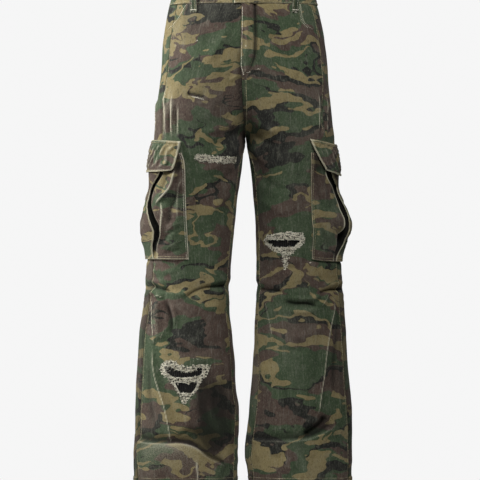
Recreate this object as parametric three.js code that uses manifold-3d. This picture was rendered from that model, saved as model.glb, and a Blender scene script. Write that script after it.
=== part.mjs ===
// Baggy cargo jeans, filled out as worn, hollow, standing in their own frame.
// Millimetres. +Z is up, -Y is the front, the origin is the middle of the waist opening,
// at half the height of the waistband.
import * as THREE from 'three';
import Module from 'manifold-3d';
import { mergeVertices } from 'three/addons/utils/BufferGeometryUtils.js';

// ---------------------------------------------------------------- driving sizes
const WALL = 1.6;             // twill, with its seam allowances
const SEAM_GAP = 0.3;         // between pieces sewn edge to edge
const BAND_TOP = 20;          // waistband, upper edge
const BAND_BOTTOM = -20;      // waistband, lower edge
const BAND_WALL = 2.8;        // two layers of twill
const BAND_LAP = 20;          // how far each band end passes the centre front
const CROTCH_Z = -301;        // where the four leg panels meet
const HEM_Z = -1051;          // lower edge of the legs
const OUTSEAM_INSET = 15;     // outseam lies this far in from the outer silhouette, on the front
const INSEAM_INSET = 10;      // the same at the inside of the leg
const FRONT_COLUMNS = 12;     // facets across a front panel
const BACK_COLUMNS = 14;      // facets across a back panel
const LOOP_WIDTH = 15;        // belt loops
const LOOP_BOTTOM = -37;
const LOOP_WALL = 1.8;
const POCKET_TOP_Z = -336;    // mouth of the bellows pocket, under the flap
const POCKET_BOTTOM_Z = -567;
const POCKET_FRONT = 0;       // arc positions are counted from the pocket's front seam
const POCKET_WIDTH = 205;     // arc from the front seam to the back seam
const POCKET_SEAM_X = 126;    // front seam, from the middle of the garment
const GUSSET_SIDE = 56;       // width of the bellows strip at the sides
const FLAP_TOP_Z = -308;
const FLAP_BOTTOM_Z = -380;
const BUTTON_RADIUS = 8.5;

// ---------------------------------------------------------------- sections
// One row a height: outer and inner edge of the leg seen from the front (distance from the
// middle, the inner one negative where the section runs past the middle), front-most and
// back-most reach. The left and right legs hang slightly differently.
const COLUMNS = ['z', 'outer', 'inner', 'front', 'back'];
const LEG_TABLE = {
  left: [
    [22, 149, -149, -113, 108], [-20, 158.5, -158.5, -118, 117], [-60, 166, -166, -121, 128],
    [-100, 172, -168, -122, 138], [-150, 176, -140, -122, 147], [-200, 183, -98, -120, 151],
    [-240, 188, -60, -117, 148], [-275, 191, -22, -113, 139], [-301, 193, 0, -111, 128],
    [-330, 194.5, 0.6, -109, 118], [-360, 194, 3.5, -107, 112], [-400, 193.5, 9, -103, 106],
    [-440, 197, 15, -99, 101], [-500, 202.5, 20, -92, 94], [-560, 206.5, 26, -85, 88],
    [-600, 209, 29, -81, 83], [-622, 210, 34, -78, 79], [-640, 213, 32.5, -78, 80],
    [-680, 218, 31.5, -77, 86], [-720, 224, 26, -75, 92], [-780, 227, 21, -72, 95],
    [-840, 231, 17, -69, 95], [-885, 233, 11, -67, 92], [-930, 234, 11.5, -64, 89],
    [-950, 235, 12.5, -63, 87], [-980, 237, 12.5, -68, 86], [-1010, 237, 13.5, -67, 84],
    [-1051, 236, 15, -60, 80]],
  right: [
    [22, 147, -147, -113, 108], [-20, 157.5, -157.5, -118, 117], [-60, 167, -167, -121, 128],
    [-100, 173.5, -168, -122, 138], [-150, 179, -140, -122, 147], [-200, 183.5, -98, -120, 151],
    [-240, 188, -60, -117, 148], [-275, 191, -22, -113, 139], [-301, 194, 0, -111, 128],
    [-330, 195, 7, -109, 118], [-360, 193.5, 12, -107, 112], [-400, 191.5, 17, -103, 106],
    [-440, 196, 20, -99, 101], [-500, 203, 25, -92, 94], [-560, 206, 27.5, -85, 88],
    [-600, 208, 27.5, -81, 83], [-622, 210, 29.7, -78, 79], [-640, 212, 27.6, -78, 80],
    [-680, 215, 25.4, -77, 86], [-720, 219, 22, -75, 92], [-780, 223, 18.5, -72, 95],
    [-840, 227.5, 13.5, -69, 95], [-885, 231, 10.5, -67, 92], [-930, 233, 5.5, -64, 89],
    [-950, 233, 3.5, -63, 87], [-980, 233, 2.5, -68, 86], [-1010, 232.5, 7.5, -67, 84],
    [-1051, 231, 13.5, -60, 80]],
};
// Middle of the garment, which leans a little at the crotch.
const MIDDLE_TABLE = [[22, 0], [-20, 0], [-171, -2], [-301, 3], [-345, 0], [-1060, 0]];
// Heights of the panel rows.
const PANEL_ROWS = [-20.3, -70, -120, -168, -210, -248, -276, -291, -301, -318, -350, -400,
  -455, -510, -560, -600, -622, -638, -656, -684, -730, -790, -850, -905, -938, -962, -990,
  -1020, -1051];

// Largest folds: a soft ridge (lift above 0) or trough (lift below 0) along a line seen from
// the front (face -1) or the back (face +1). reach is its half width.
const FOLDS = [
  // knees: sagging cloth under the sewn darts
  { face: -1, x0: -205, z0: -624, x1: -160, z1: -636, lift: -5, reach: 12 },
  { face: -1, x0: -120, z0: -634, x1: -40, z1: -622, lift: -5, reach: 12 },
  { face: -1, x0: -190, z0: -662, x1: -120, z1: -672, lift: 4, reach: 22 },
  { face: -1, x0: 36, z0: -624, x1: 74, z1: -632, lift: -5, reach: 12 },
  { face: -1, x0: 164, z0: -634, x1: 206, z1: -626, lift: -5, reach: 12 },
  { face: -1, x0: 98, z0: -655, x1: 152, z1: -655, lift: -6, reach: 12 },
  { face: -1, x0: 90, z0: -678, x1: 160, z1: -684, lift: 4, reach: 20 },
  // long drag folds of the shins
  { face: -1, x0: 190, z0: -655, x1: 168, z1: -815, lift: 4, reach: 14 },
  { face: -1, x0: 168, z0: -815, x1: 158, z1: -900, lift: 5, reach: 14 },
  { face: -1, x0: -196, z0: -640, x1: -190, z1: -850, lift: 4, reach: 14 },
  { face: -1, x0: -190, z0: -850, x1: -158, z1: -948, lift: 5, reach: 14 },
  // break of the hems over the instep
  { face: -1, x0: -208, z0: -962, x1: -124, z1: -966, lift: 7, reach: 14 },
  { face: -1, x0: -124, z0: -966, x1: -42, z1: -1000, lift: 8, reach: 16 },
  { face: -1, x0: -112, z0: -936, x1: -42, z1: -962, lift: -9, reach: 16 },
  { face: -1, x0: 10, z0: -950, x1: 120, z1: -948, lift: 6, reach: 13 },
  { face: -1, x0: 126, z0: -930, x1: 176, z1: -918, lift: -9, reach: 13 },
  { face: -1, x0: 120, z0: -962, x1: 200, z1: -950, lift: 6, reach: 16 },
  // backs of the knees and the hems, and under the seat
  { face: 1, x0: -200, z0: -610, x1: -90, z1: -640, lift: -6, reach: 15 },
  { face: 1, x0: -60, z0: -650, x1: -160, z1: -690, lift: -6, reach: 16 },
  { face: 1, x0: 200, z0: -616, x1: 100, z1: -644, lift: -6, reach: 15 },
  { face: 1, x0: 50, z0: -640, x1: 150, z1: -700, lift: -6, reach: 16 },
  { face: 1, x0: -170, z0: -365, x1: -60, z1: -345, lift: -5, reach: 16 },
  { face: 1, x0: 170, z0: -372, x1: 60, z1: -345, lift: -5, reach: 16 },
  { face: 1, x0: -205, z0: -960, x1: -60, z1: -972, lift: 6, reach: 18 },
  { face: 1, x0: 205, z0: -955, x1: 50, z1: -970, lift: 6, reach: 18 },
];

// Holes worn through, each cut straight through the front of a leg: outline (x, z) in
// millimetres, with the backing cloth sewn behind it (side, and its reach in x and z).
const HOLES = [
  { node: 'front_right', outline: [[49, -520], [68, -521], [89, -520], [94, -523], [100, -521],
    [119, -520], [120, -525], [107, -535], [93, -537], [66, -537], [55, -531], [48, -526]] },
  { node: 'front_left', outline: [[-171, -788], [-158, -790], [-141, -801], [-124, -805],
    [-104, -801], [-101, -796], [-88, -796], [-90, -806], [-97, -810], [-118, -812],
    [-140, -814], [-153, -812], [-159, -806], [-168, -803]] },
  { node: 'front_left', outline: [[-146, -823], [-122, -826], [-118, -830], [-115, -825],
    [-99, -820], [-101, -829], [-106, -837], [-111, -845], [-134, -845], [-140, -836]] },
];
const BACKINGS = [
  { name: 'backing_knee_right', side: 'right', x0: 36, x1: 136, z0: -488, z1: -560, nx: 8, nz: 3 },
  { name: 'backing_shin_left', side: 'left', x0: -177, x1: -76, z0: -762, z1: -858, nx: 8, nz: 4 },
];
const BACKING_WALL = 1.2;
const BACKING_GAP = 1.9;

// Belt loops: where each stands along the band, by its x, and on which face.
const BELT_LOOPS = [
  { name: 'belt_loop_front_left', side: 'left', face: -1, x: 106 },
  { name: 'belt_loop_front_right', side: 'right', face: -1, x: 108 },
  { name: 'belt_loop_back_left', side: 'left', face: 1, x: 112 },
  { name: 'belt_loop_back_right', side: 'right', face: 1, x: 112 },
  { name: 'belt_loop_back_middle', side: 'right', face: 1, x: 0 },
];

// Bellows pocket: height of its cloth above the leg, from the mouth (down 0) to the bottom
// seam (down 1), and across the strip from the outer seam (0) to the face (1) as a share of it.
const POCKET_LIFT = {
  left: [[0, 7.5], [0.21, 8], [0.36, 9], [0.46, 11], [0.58, 16.5], [0.73, 17], [0.8, 15.5], [0.9, 8], [1, 1]],
  right: [[0, 7.5], [0.21, 8], [0.36, 8.5], [0.46, 12], [0.58, 20], [0.7, 24.5], [0.78, 20], [0.88, 9], [1, 1]],
};
const GUSSET_PROFILE = [[0, 0], [0.12, 0.14], [0.45, 0.55], [0.78, 0.92], [0.9, 0.78], [1, 0.45]];
const FACE_EDGE = 0.45;       // height of the face where it meets the strip, same share
const FLAP_LIFT = 12;         // flap over the mouth of the pocket

// ---------------------------------------------------------------- interpolation
function monotone(points) {
  const n = points.length, slopes = [], tangents = [];
  for (let i = 0; i < n - 1; i++) {
    slopes.push((points[i + 1][1] - points[i][1]) / (points[i + 1][0] - points[i][0]));
  }
  for (let i = 0; i < n; i++) {
    if (i === 0) tangents.push(slopes[0]);
    else if (i === n - 1) tangents.push(slopes[n - 2]);
    else if (slopes[i - 1] * slopes[i] <= 0) tangents.push(0);
    else tangents.push(2 * slopes[i - 1] * slopes[i] / (slopes[i - 1] + slopes[i]));
  }
  return x => {
    if (x <= points[0][0]) return points[0][1];
    if (x >= points[n - 1][0]) return points[n - 1][1];
    let i = 0;
    while (x > points[i + 1][0]) i++;
    const h = points[i + 1][0] - points[i][0], t = (x - points[i][0]) / h;
    const t2 = t * t, t3 = t2 * t;
    return points[i][1] * (2 * t3 - 3 * t2 + 1) + h * tangents[i] * (t3 - 2 * t2 + t)
      + points[i + 1][1] * (3 * t2 - 2 * t3) + h * tangents[i + 1] * (t3 - t2);
  };
}
const column = (table, k) => monotone(table.map(row => [row[0], row[k]]).sort((p, q) => p[0] - q[0]));
const SIDES = { left: -1, right: 1 };
const reachOf = {};
for (const side of Object.keys(SIDES)) {
  reachOf[side] = {};
  COLUMNS.forEach((name, k) => { if (k) reachOf[side][name] = column(LEG_TABLE[side], k); });
}
const middle = column(MIDDLE_TABLE, 1);
const smooth = (a, b, x) => {
  const t = Math.min(1, Math.max(0, (x - a) / (b - a)));
  return t * t * (3 - 2 * t);
};
const mix = (a, b, t) => a + (b - a) * t;

// ---------------------------------------------------------------- the leg surface
// A section is a rounded loop. Its arc is counted from the outermost point, over the front,
// to the inside of the leg and on round the back.
const LOOP_STEPS = 240;
const sectionCache = new Map();
function section(side, z) {
  const key = side + z.toFixed(4);
  if (sectionCache.has(key)) return sectionCache.get(key);
  const r = reachOf[side], sign = SIDES[side];
  const outer = r.outer(z), inner = r.inner(z), front = r.front(z), back = r.back(z);
  const cx = (outer + inner) / 2, a = (outer - inner) / 2, cy = mix(front, back, 0.5);
  const squareFront = 2.35, squareBack = 2.25;
  const mid = middle(z) * smooth(-20, -120, z);
  const points = [], arc = [0];
  for (let i = 0; i <= LOOP_STEPS; i++) {
    const phi = 2 * Math.PI * i / LOOP_STEPS, c = Math.cos(phi), s = Math.sin(phi);
    const n = s >= 0 ? squareFront : squareBack;
    const px = cx + a * Math.sign(c) * Math.abs(c) ** (2 / n);
    const py = s >= 0 ? cy + (front - cy) * Math.abs(s) ** (2 / n) : cy + (back - cy) * Math.abs(s) ** (2 / n);
    // the outline is read from the middle, so only the inner side takes the lean
    points.push([sign * px + mid * smooth(outer, 0, px), py]);
    if (i) arc.push(arc[i - 1] + Math.hypot(points[i][0] - points[i - 1][0], points[i][1] - points[i - 1][1]));
  }
  const total = arc[LOOP_STEPS];
  const at = s => {
    s = ((s % total) + total) % total;
    let lo = 0, hi = LOOP_STEPS;
    while (hi - lo > 1) { const m = (lo + hi) >> 1; if (arc[m] <= s) lo = m; else hi = m; }
    const t = (s - arc[lo]) / (arc[hi] - arc[lo]);
    return [mix(points[lo][0], points[hi][0], t), mix(points[lo][1], points[hi][1], t)];
  };
  // arc where x passes a value, on the front (face -1) or the back (face +1) run of the loop
  const find = (x, face) => {
    const half = LOOP_STEPS / 2;
    for (let k = 0; k < half; k++) {
      const i = face < 0 ? k : LOOP_STEPS - k, j = face < 0 ? k + 1 : LOOP_STEPS - k - 1;
      const x0 = points[i][0], x1 = points[j][0];
      if ((x0 - x) * (x1 - x) <= 0 && x0 !== x1) {
        return mix(arc[i], arc[j], (x - x0) / (x1 - x0));
      }
    }
    return face < 0 ? arc[half] : arc[half];
  };
  const made = { at, find, total, outer, inner, innerArc: arc[LOOP_STEPS / 2], sign };
  sectionCache.set(key, made);
  return made;
}

function foldLift(x, y, z, ny) {
  let sum = 0;
  for (const f of FOLDS) {
    const facing = smooth(0.05, 0.6, ny * f.face);
    if (!facing) continue;
    const dx = f.x1 - f.x0, dz = f.z1 - f.z0, len2 = dx * dx + dz * dz;
    const t = Math.min(1, Math.max(0, ((x - f.x0) * dx + (z - f.z0) * dz) / len2));
    const d = Math.hypot(x - f.x0 - t * dx, z - f.z0 - t * dz) / f.reach;
    if (d < 3) sum += f.lift * Math.exp(-d * d) * facing;
  }
  return sum;
}

// Arc of the panel edges at a height.
function edges(side, z) {
  const sec = section(side, z), sign = SIDES[side];
  const clipX = middle(z) * smooth(-20, -120, z);
  const outseam = sec.find(sign * (sec.outer - OUTSEAM_INSET), -1);
  if (z > CROTCH_Z + 0.01) {
    return { sec, outseam, front: sec.find(clipX + sign * SEAM_GAP / 2, -1),
      back: sec.find(clipX + sign * SEAM_GAP / 2, 1), clip: clipX + sign * SEAM_GAP / 2 };
  }
  const inset = INSEAM_INSET * smooth(CROTCH_Z, CROTCH_Z - 90, z);
  const seam = inset > 0.5 ? sec.find(sign * (sec.inner + inset) + clipX, -1) : sec.innerArc;
  const blend = smooth(CROTCH_Z, CROTCH_Z - 60, z);
  const s = mix(sec.innerArc, seam, blend);
  return { sec, outseam, front: s - SEAM_GAP / 2, back: s + SEAM_GAP / 2, clip: null };
}

const STEP = 1.5;
function rawPoint(side, s, z) {
  const p = section(side, z).at(s);
  return new THREE.Vector3(p[0], p[1], z);
}
function rawNormal(side, s, z) {
  const total = section(side, z).total;
  const ds = rawPoint(side, s + STEP, z).sub(rawPoint(side, s - STEP, z));
  // up and down at the same share of the loop
  const up = rawPoint(side, s / total * section(side, z + STEP).total, z + STEP);
  const down = rawPoint(side, s / total * section(side, z - STEP).total, z - STEP);
  const n = ds.cross(up.sub(down)).normalize();
  return side === 'right' ? n.negate() : n;
}
function skinPoint(side, s, z) {
  const p = rawPoint(side, s, z), n = rawNormal(side, s, z);
  return p.addScaledVector(n, foldLift(p.x, p.y, z, n.y));
}
function skin(side, s, z, clip = null) {
  const p = skinPoint(side, s, z), n = rawNormal(side, s, z);
  if (clip !== null) { p.x = clip; n.x = 0; n.normalize(); }
  return { p, n };
}

// ---------------------------------------------------------------- closed shells from grids
// at(i, j) gives an outer point and a normal; the inner face lies wall below it.
function shell(nu, nv, at, wall) {
  const outer = [], inner = [];
  for (let j = 0; j <= nv; j++) {
    for (let i = 0; i <= nu; i++) {
      const { p, n, q } = at(i, j);
      outer.push(p);
      inner.push(q ? q : p.clone().addScaledVector(n, -wall));
    }
  }
  const count = outer.length, id = (i, j) => j * (nu + 1) + i, tris = [];
  const quad = (a, b, c, d) => tris.push([a, b, c], [a, c, d]);
  for (let j = 0; j < nv; j++) {
    for (let i = 0; i < nu; i++) {
      const a = id(i, j), b = id(i + 1, j), c = id(i + 1, j + 1), d = id(i, j + 1);
      quad(a, b, c, d);
      quad(count + d, count + c, count + b, count + a);
    }
  }
  for (let i = 0; i < nu; i++) {
    quad(id(i + 1, 0), id(i, 0), count + id(i, 0), count + id(i + 1, 0));
    quad(id(i, nv), id(i + 1, nv), count + id(i + 1, nv), count + id(i, nv));
  }
  for (let j = 0; j < nv; j++) {
    quad(id(0, j), id(0, j + 1), count + id(0, j + 1), count + id(0, j));
    quad(id(nu, j + 1), id(nu, j), count + id(nu, j), count + id(nu, j + 1));
  }
  return fromTriangles(outer.concat(inner), tris);
}
function fromTriangles(points, tris) {
  let volume = 0;
  for (const [a, b, c] of tris) {
    volume += points[a].dot(new THREE.Vector3().crossVectors(points[b], points[c]));
  }
  const index = volume > 0 ? tris.flat() : tris.map(([a, b, c]) => [a, c, b]).flat();
  const g = new THREE.BufferGeometry();
  g.setAttribute('position', new THREE.Float32BufferAttribute(points.flatMap(p => [p.x, p.y, p.z]), 3));
  g.setIndex(index);
  return g;
}

const wasm = await Module();
wasm.setup();
function solidOf(geometry) {
  const g = geometry.clone();
  for (const name of Object.keys(g.attributes)) if (name !== 'position') g.deleteAttribute(name);
  const merged = mergeVertices(g, 1e-4);
  return new wasm.Manifold(new wasm.Mesh({ numProp: 3,
    vertProperties: new Float32Array(merged.attributes.position.array),
    triVerts: new Uint32Array(merged.index.array) }));
}
function geometryOf(solid) {
  const mesh = solid.getMesh(), g = new THREE.BufferGeometry();
  g.setAttribute('position', new THREE.Float32BufferAttribute(Array.from(mesh.vertProperties), 3));
  g.setIndex(Array.from(mesh.triVerts));
  return g;
}
// A straight cutter through the front cloth only.
function cutter(outline) {
  const shape = new THREE.Shape(outline.map(([x, z]) => new THREE.Vector2(x, z)));
  const g = new THREE.ExtrudeGeometry(shape, { depth: 160, bevelEnabled: false, steps: 1 });
  g.rotateX(Math.PI / 2);       // the outline's second axis turns to +Z, its depth to -Y
  return g;
}

// ---------------------------------------------------------------- pieces
const group = new THREE.Group();
function add(name, geometry, color, roughness = 0.92, metalness = 0) {
  geometry.computeVertexNormals();
  const mesh = new THREE.Mesh(geometry, new THREE.MeshStandardMaterial({ color, roughness, metalness }));
  mesh.name = name;
  group.add(mesh);
  return mesh;
}
const GREEN = 0x50513f, BROWN = 0x4a3f32, TAN = 0x75705a, BLACK = 0x1c1c19, BRASS = 0x8a7a52;

// leg panels
for (const side of ['left', 'right']) {
  let front = shell(FRONT_COLUMNS, PANEL_ROWS.length - 1, (i, j) => {
    const z = PANEL_ROWS[j], e = edges(side, z), t = i / FRONT_COLUMNS;
    const s = mix(e.outseam + SEAM_GAP / 2, e.front, t);
    return skin(side, s, z, i === FRONT_COLUMNS ? e.clip : null);
  }, WALL);
  for (const hole of HOLES) {
    if (hole.node !== 'front_' + side) continue;
    front = geometryOf(solidOf(front).subtract(solidOf(cutter(hole.outline))));
  }
  add('front_' + side, front, GREEN);
  const back = shell(BACK_COLUMNS, PANEL_ROWS.length - 1, (i, j) => {
    const z = PANEL_ROWS[j], e = edges(side, z), t = i / BACK_COLUMNS;
    const s = mix(e.back, e.sec.total + e.outseam - SEAM_GAP / 2, t);
    return skin(side, s, z, i === 0 ? e.clip : null);
  }, WALL);
  add('back_' + side, back, GREEN);
}

// waistband: one strip that starts under the lap at the centre front, runs round the left
// side, the back and the right side, and ends over its own beginning
{
  const left = section('left', 0), right = section('right', 0);
  const startArc = left.find(0, -1), endArc = right.find(0, -1);
  const leftBack = left.total - left.find(0, 1) + startArc;   // arc from front middle to back middle
  const rightBack = right.total - right.find(0, 1) + endArc;
  const length = BAND_LAP + leftBack + rightBack + BAND_LAP;
  const steps = 40;
  const at = (d, z) => {
    // d counts from the hidden end at the right of the middle
    const e = d - BAND_LAP;
    const side = e < leftBack ? 'left' : 'right';
    const secA = section(side, z);
    const mid = secA.find(0, -1);
    let s;
    if (side === 'left') s = mid - e / leftBack * (secA.total - secA.find(0, 1) + mid);
    else s = mid - (leftBack + rightBack - e) / rightBack * (secA.total - secA.find(0, 1) + mid);
    const p = rawPoint(side, s, z), n = rawNormal(side, s, z);
    n.z = 0; n.normalize();
    return { p, n };
  };
  const lapStart = length - 2 * BAND_LAP - 34;
  add('waistband', shell(steps, 1, (i, j) => {
    const d = i / steps * length, z = mix(BAND_TOP, BAND_BOTTOM, j);
    const { p, n } = at(d, z);
    const lift = 0.6 + 3.4 * smooth(lapStart, length - 2 * BAND_LAP - 4, d);
    p.addScaledVector(n, lift);
    return { p, n };
  }, BAND_WALL), BROWN);
}

// fly shield behind the closed fly
add('fly_shield', shell(4, 5, (i, j) => {
  const z = mix(-24, -170, j / 5), x = mix(-19, 21, i / 4) - 2 * j / 5;
  const side = x < middle(z) ? 'left' : 'right', sec = section(side, z);
  const s = sec.find(x, -1), { p, n } = skin(side, s, z);
  n.x = 0; n.normalize();
  p.x = x;
  return { p: p.addScaledVector(n, -WALL - 0.8), n };
}, 1.4), BROWN);

// shank button on the lapped end
{
  const profile = [[0, -0.2], [3.2, -0.2], [3.2, 1.6], [BUTTON_RADIUS - 0.6, 1.9], [BUTTON_RADIUS, 2.7],
    [BUTTON_RADIUS - 0.5, 3.6], [BUTTON_RADIUS - 2, 4], [BUTTON_RADIUS - 2.6, 3.6], [0, 3.6]];
  const g = new THREE.LatheGeometry(profile.map(([r, h]) => new THREE.Vector2(r, h)), 14);
  g.rotateX(Math.PI);           // face to the front
  const p = rawPoint('right', section('right', 0).find(3, -1), 0);
  g.translate(3, p.y - 4.7, 0);
  const m = mergeVertices(g.deleteAttribute('normal').deleteAttribute('uv'), 1e-4);
  add('shank_button', m, BRASS, 0.4, 0.9);
}

// belt loops: a flat strip over the band, its lower end on the panel
for (const loop of BELT_LOOPS) {
  const rows = [BAND_TOP - 1, BAND_TOP - 6, BAND_BOTTOM + 6, BAND_BOTTOM - 1, BAND_BOTTOM - 8, LOOP_BOTTOM];
  const lifts = [0.3, 2.1, 2.1, 1.3, 0.2, 0];
  const sign = SIDES[loop.side];
  const half = LOOP_WIDTH / 2;
  add(loop.name, shell(2, rows.length - 1, (i, j) => {
    const z = rows[j];
    const s0 = section(loop.side, z).find(sign * loop.x, loop.face);
    const around = (i - 1) * half;
    const { p, n } = skin(loop.side, s0 + around, z);
    n.z = 0; n.normalize();
    return { p: p.addScaledVector(n, 1.7 + LOOP_WALL + lifts[j]), n };
  }, LOOP_WALL), TAN);
}

// cargo pockets
const profileOf = monotone(GUSSET_PROFILE);
function pocketFrame(side) {
  // arc position of the pocket's front seam at a height; the pocket runs from it over the
  // outer side towards the back, so its arc falls
  const sign = SIDES[side];
  return (across, z) => {
    const sec = section(side, z);
    return sec.find(sign * POCKET_SEAM_X, -1) - across;
  };
}
const pocketDown = z => (POCKET_TOP_Z - z) / (POCKET_TOP_Z - POCKET_BOTTOM_Z);
for (const side of ['left', 'right']) {
  const arcOf = pocketFrame(side);
  const place = (across, z, lift) => {
    const s = arcOf(across, z), p = rawPoint(side, s, z), n = rawNormal(side, s, z);
    return { p: p.addScaledVector(n, lift), n };
  };
  const W = POCKET_WIDTH, T = POCKET_TOP_Z, B = POCKET_BOTTOM_Z;
  const base = WALL + 1.1, liftOf = monotone(POCKET_LIFT[side]);
  const fullAt = z => liftOf(Math.min(1, Math.max(0, pocketDown(z))));
  // bellows strips down the front and the back edge, and the face between them
  const across = [0, 0.12, 0.45, 0.78, 0.9, 1], NZ = 9, gapIn = 0.5;
  for (const edge of ['front', 'back']) {
    add('pocket_bellows_' + edge + '_' + side, shell(across.length - 1, NZ, (i, j) => {
      const w = across[i] * (GUSSET_SIDE - gapIn), z = mix(T, B, j / NZ);
      const a = edge === 'front' ? w : W - w;
      return place(a, z, base + profileOf(across[i]) * fullAt(z));
    }, WALL - 0.1), GREEN);
  }
  const NX = 7;
  add('pocket_face_' + side, shell(NX, NZ, (i, j) => {
    const u = i / NX, z = mix(T, B, j / NZ);
    const a = mix(GUSSET_SIDE + gapIn, W - GUSSET_SIDE - gapIn, u);
    const round = Math.sin(Math.min(1, Math.min(u, 1 - u) / 0.22) * Math.PI / 2);
    return place(a, z, base + mix(FACE_EDGE, 1, round) * fullAt(z));
  }, WALL), GREEN);
  // flap, its front edge slanting back
  const slant = side === 'left' ? 22 : 42;
  add('pocket_flap_' + side, shell(10, 4, (i, j) => {
    const v = j / 4, z = mix(FLAP_TOP_Z, FLAP_BOTTOM_Z, v);
    const a = mix(4 + slant * v, W - 6 - 18 * v, i / 10);
    const inside = Math.max(0, Math.min(1, Math.min(a - 2, W - 2 - a) / 40));
    const cover = FLAP_LIFT * mix(0.3, 1, Math.sin(inside * Math.PI / 2));
    const lift = mix(0.4, cover, smooth(0, 0.38, v));
    return place(a, z, base + lift);
  }, WALL), GREEN);
}

// backing cloth behind the holes, made from the leg's surface, moved in
for (const b of BACKINGS) {
  add(b.name, shell(b.nx, b.nz, (i, j) => {
    const z = mix(b.z0, b.z1, j / b.nz), x = mix(b.x0, b.x1, i / b.nx);
    const s = section(b.side, z).find(x, -1), { p, n } = skin(b.side, s, z);
    return { p: p.addScaledVector(n, -WALL - BACKING_GAP), n };
  }, BACKING_WALL), BLACK);
}

export default group;
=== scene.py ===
# Baggy cargo jeans: the looks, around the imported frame. Sizes are in millimetres until a mesh is made.
import bpy, math
import numpy as np
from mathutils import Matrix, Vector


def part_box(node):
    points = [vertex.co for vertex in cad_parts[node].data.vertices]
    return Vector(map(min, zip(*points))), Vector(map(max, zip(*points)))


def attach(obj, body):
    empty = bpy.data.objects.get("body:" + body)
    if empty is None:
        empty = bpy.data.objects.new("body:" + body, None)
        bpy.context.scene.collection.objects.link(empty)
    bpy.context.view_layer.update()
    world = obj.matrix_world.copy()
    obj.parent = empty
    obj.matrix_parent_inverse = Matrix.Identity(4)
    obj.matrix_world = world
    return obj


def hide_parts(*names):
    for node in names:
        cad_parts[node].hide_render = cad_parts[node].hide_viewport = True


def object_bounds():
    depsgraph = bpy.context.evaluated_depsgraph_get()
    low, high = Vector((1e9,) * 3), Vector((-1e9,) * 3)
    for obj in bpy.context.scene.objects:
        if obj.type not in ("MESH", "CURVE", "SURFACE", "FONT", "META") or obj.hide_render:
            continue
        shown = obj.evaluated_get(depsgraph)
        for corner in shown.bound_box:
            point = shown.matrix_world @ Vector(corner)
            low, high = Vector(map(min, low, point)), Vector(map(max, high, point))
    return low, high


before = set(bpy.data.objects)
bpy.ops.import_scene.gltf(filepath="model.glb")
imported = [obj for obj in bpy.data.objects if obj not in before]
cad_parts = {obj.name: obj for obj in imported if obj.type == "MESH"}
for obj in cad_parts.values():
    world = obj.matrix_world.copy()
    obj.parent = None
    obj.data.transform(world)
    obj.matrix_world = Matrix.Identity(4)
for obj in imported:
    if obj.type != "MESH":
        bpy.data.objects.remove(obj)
CAD_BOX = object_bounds()
MM = 0.001

# ------------------------------------------------------------------ front chart
# Places on the front are charted in units of 2.12 mm: x counted to the right, 244 at the middle of the
# garment, y counted down, -5.9 at the waist opening's middle.
UNIT, MID, TOP = 2.12, 244.0, 5.9
def cx(x): return (np.asarray(x, float) - MID) * UNIT
def cz(y): return -(np.asarray(y, float) + TOP) * UNIT

# ------------------------------------------------------------------ sections, the same as the solids'
BAND_TOP, BAND_BOTTOM, CROTCH_Z, HEM_Z = 20.0, -20.0, -301.0, -1051.0
LEG_TABLE = {   # z, outer, inner, front, back
    "left": [
        (22, 149, -149, -113, 108), (-20, 158.5, -158.5, -118, 117), (-60, 166, -166, -121, 128),
        (-100, 172, -168, -122, 138), (-150, 176, -140, -122, 147), (-200, 183, -98, -120, 151),
        (-240, 188, -60, -117, 148), (-275, 191, -22, -113, 139), (-301, 193, 0, -111, 128),
        (-330, 194.5, 0.6, -109, 118), (-360, 194, 3.5, -107, 112), (-400, 193.5, 9, -103, 106),
        (-440, 197, 15, -99, 101), (-500, 202.5, 20, -92, 94), (-560, 206.5, 26, -85, 88),
        (-600, 209, 29, -81, 83), (-622, 210, 34, -78, 79), (-640, 213, 32.5, -78, 80),
        (-680, 218, 31.5, -77, 86), (-720, 224, 26, -75, 92), (-780, 227, 21, -72, 95),
        (-840, 231, 17, -69, 95), (-885, 233, 11, -67, 92), (-930, 234, 11.5, -64, 89),
        (-950, 235, 12.5, -63, 87), (-980, 237, 12.5, -68, 86), (-1010, 237, 13.5, -67, 84),
        (-1051, 236, 15, -60, 80)],
    "right": [
        (22, 147, -147, -113, 108), (-20, 157.5, -157.5, -118, 117), (-60, 167, -167, -121, 128),
        (-100, 173.5, -168, -122, 138), (-150, 179, -140, -122, 147), (-200, 183.5, -98, -120, 151),
        (-240, 188, -60, -117, 148), (-275, 191, -22, -113, 139), (-301, 194, 0, -111, 128),
        (-330, 195, 7, -109, 118), (-360, 193.5, 12, -107, 112), (-400, 191.5, 17, -103, 106),
        (-440, 196, 20, -99, 101), (-500, 203, 25, -92, 94), (-560, 206, 27.5, -85, 88),
        (-600, 208, 27.5, -81, 83), (-622, 210, 29.7, -78, 79), (-640, 212, 27.6, -78, 80),
        (-680, 215, 25.4, -77, 86), (-720, 219, 22, -75, 92), (-780, 223, 18.5, -72, 95),
        (-840, 227.5, 13.5, -69, 95), (-885, 231, 10.5, -67, 92), (-930, 233, 5.5, -64, 89),
        (-950, 233, 3.5, -63, 87), (-980, 233, 2.5, -68, 86), (-1010, 232.5, 7.5, -67, 84),
        (-1051, 231, 13.5, -60, 80)],
}
MIDDLE = [(22, 0), (-20, 0), (-171, -2), (-301, 3), (-345, 0), (-1060, 0)]


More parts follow.
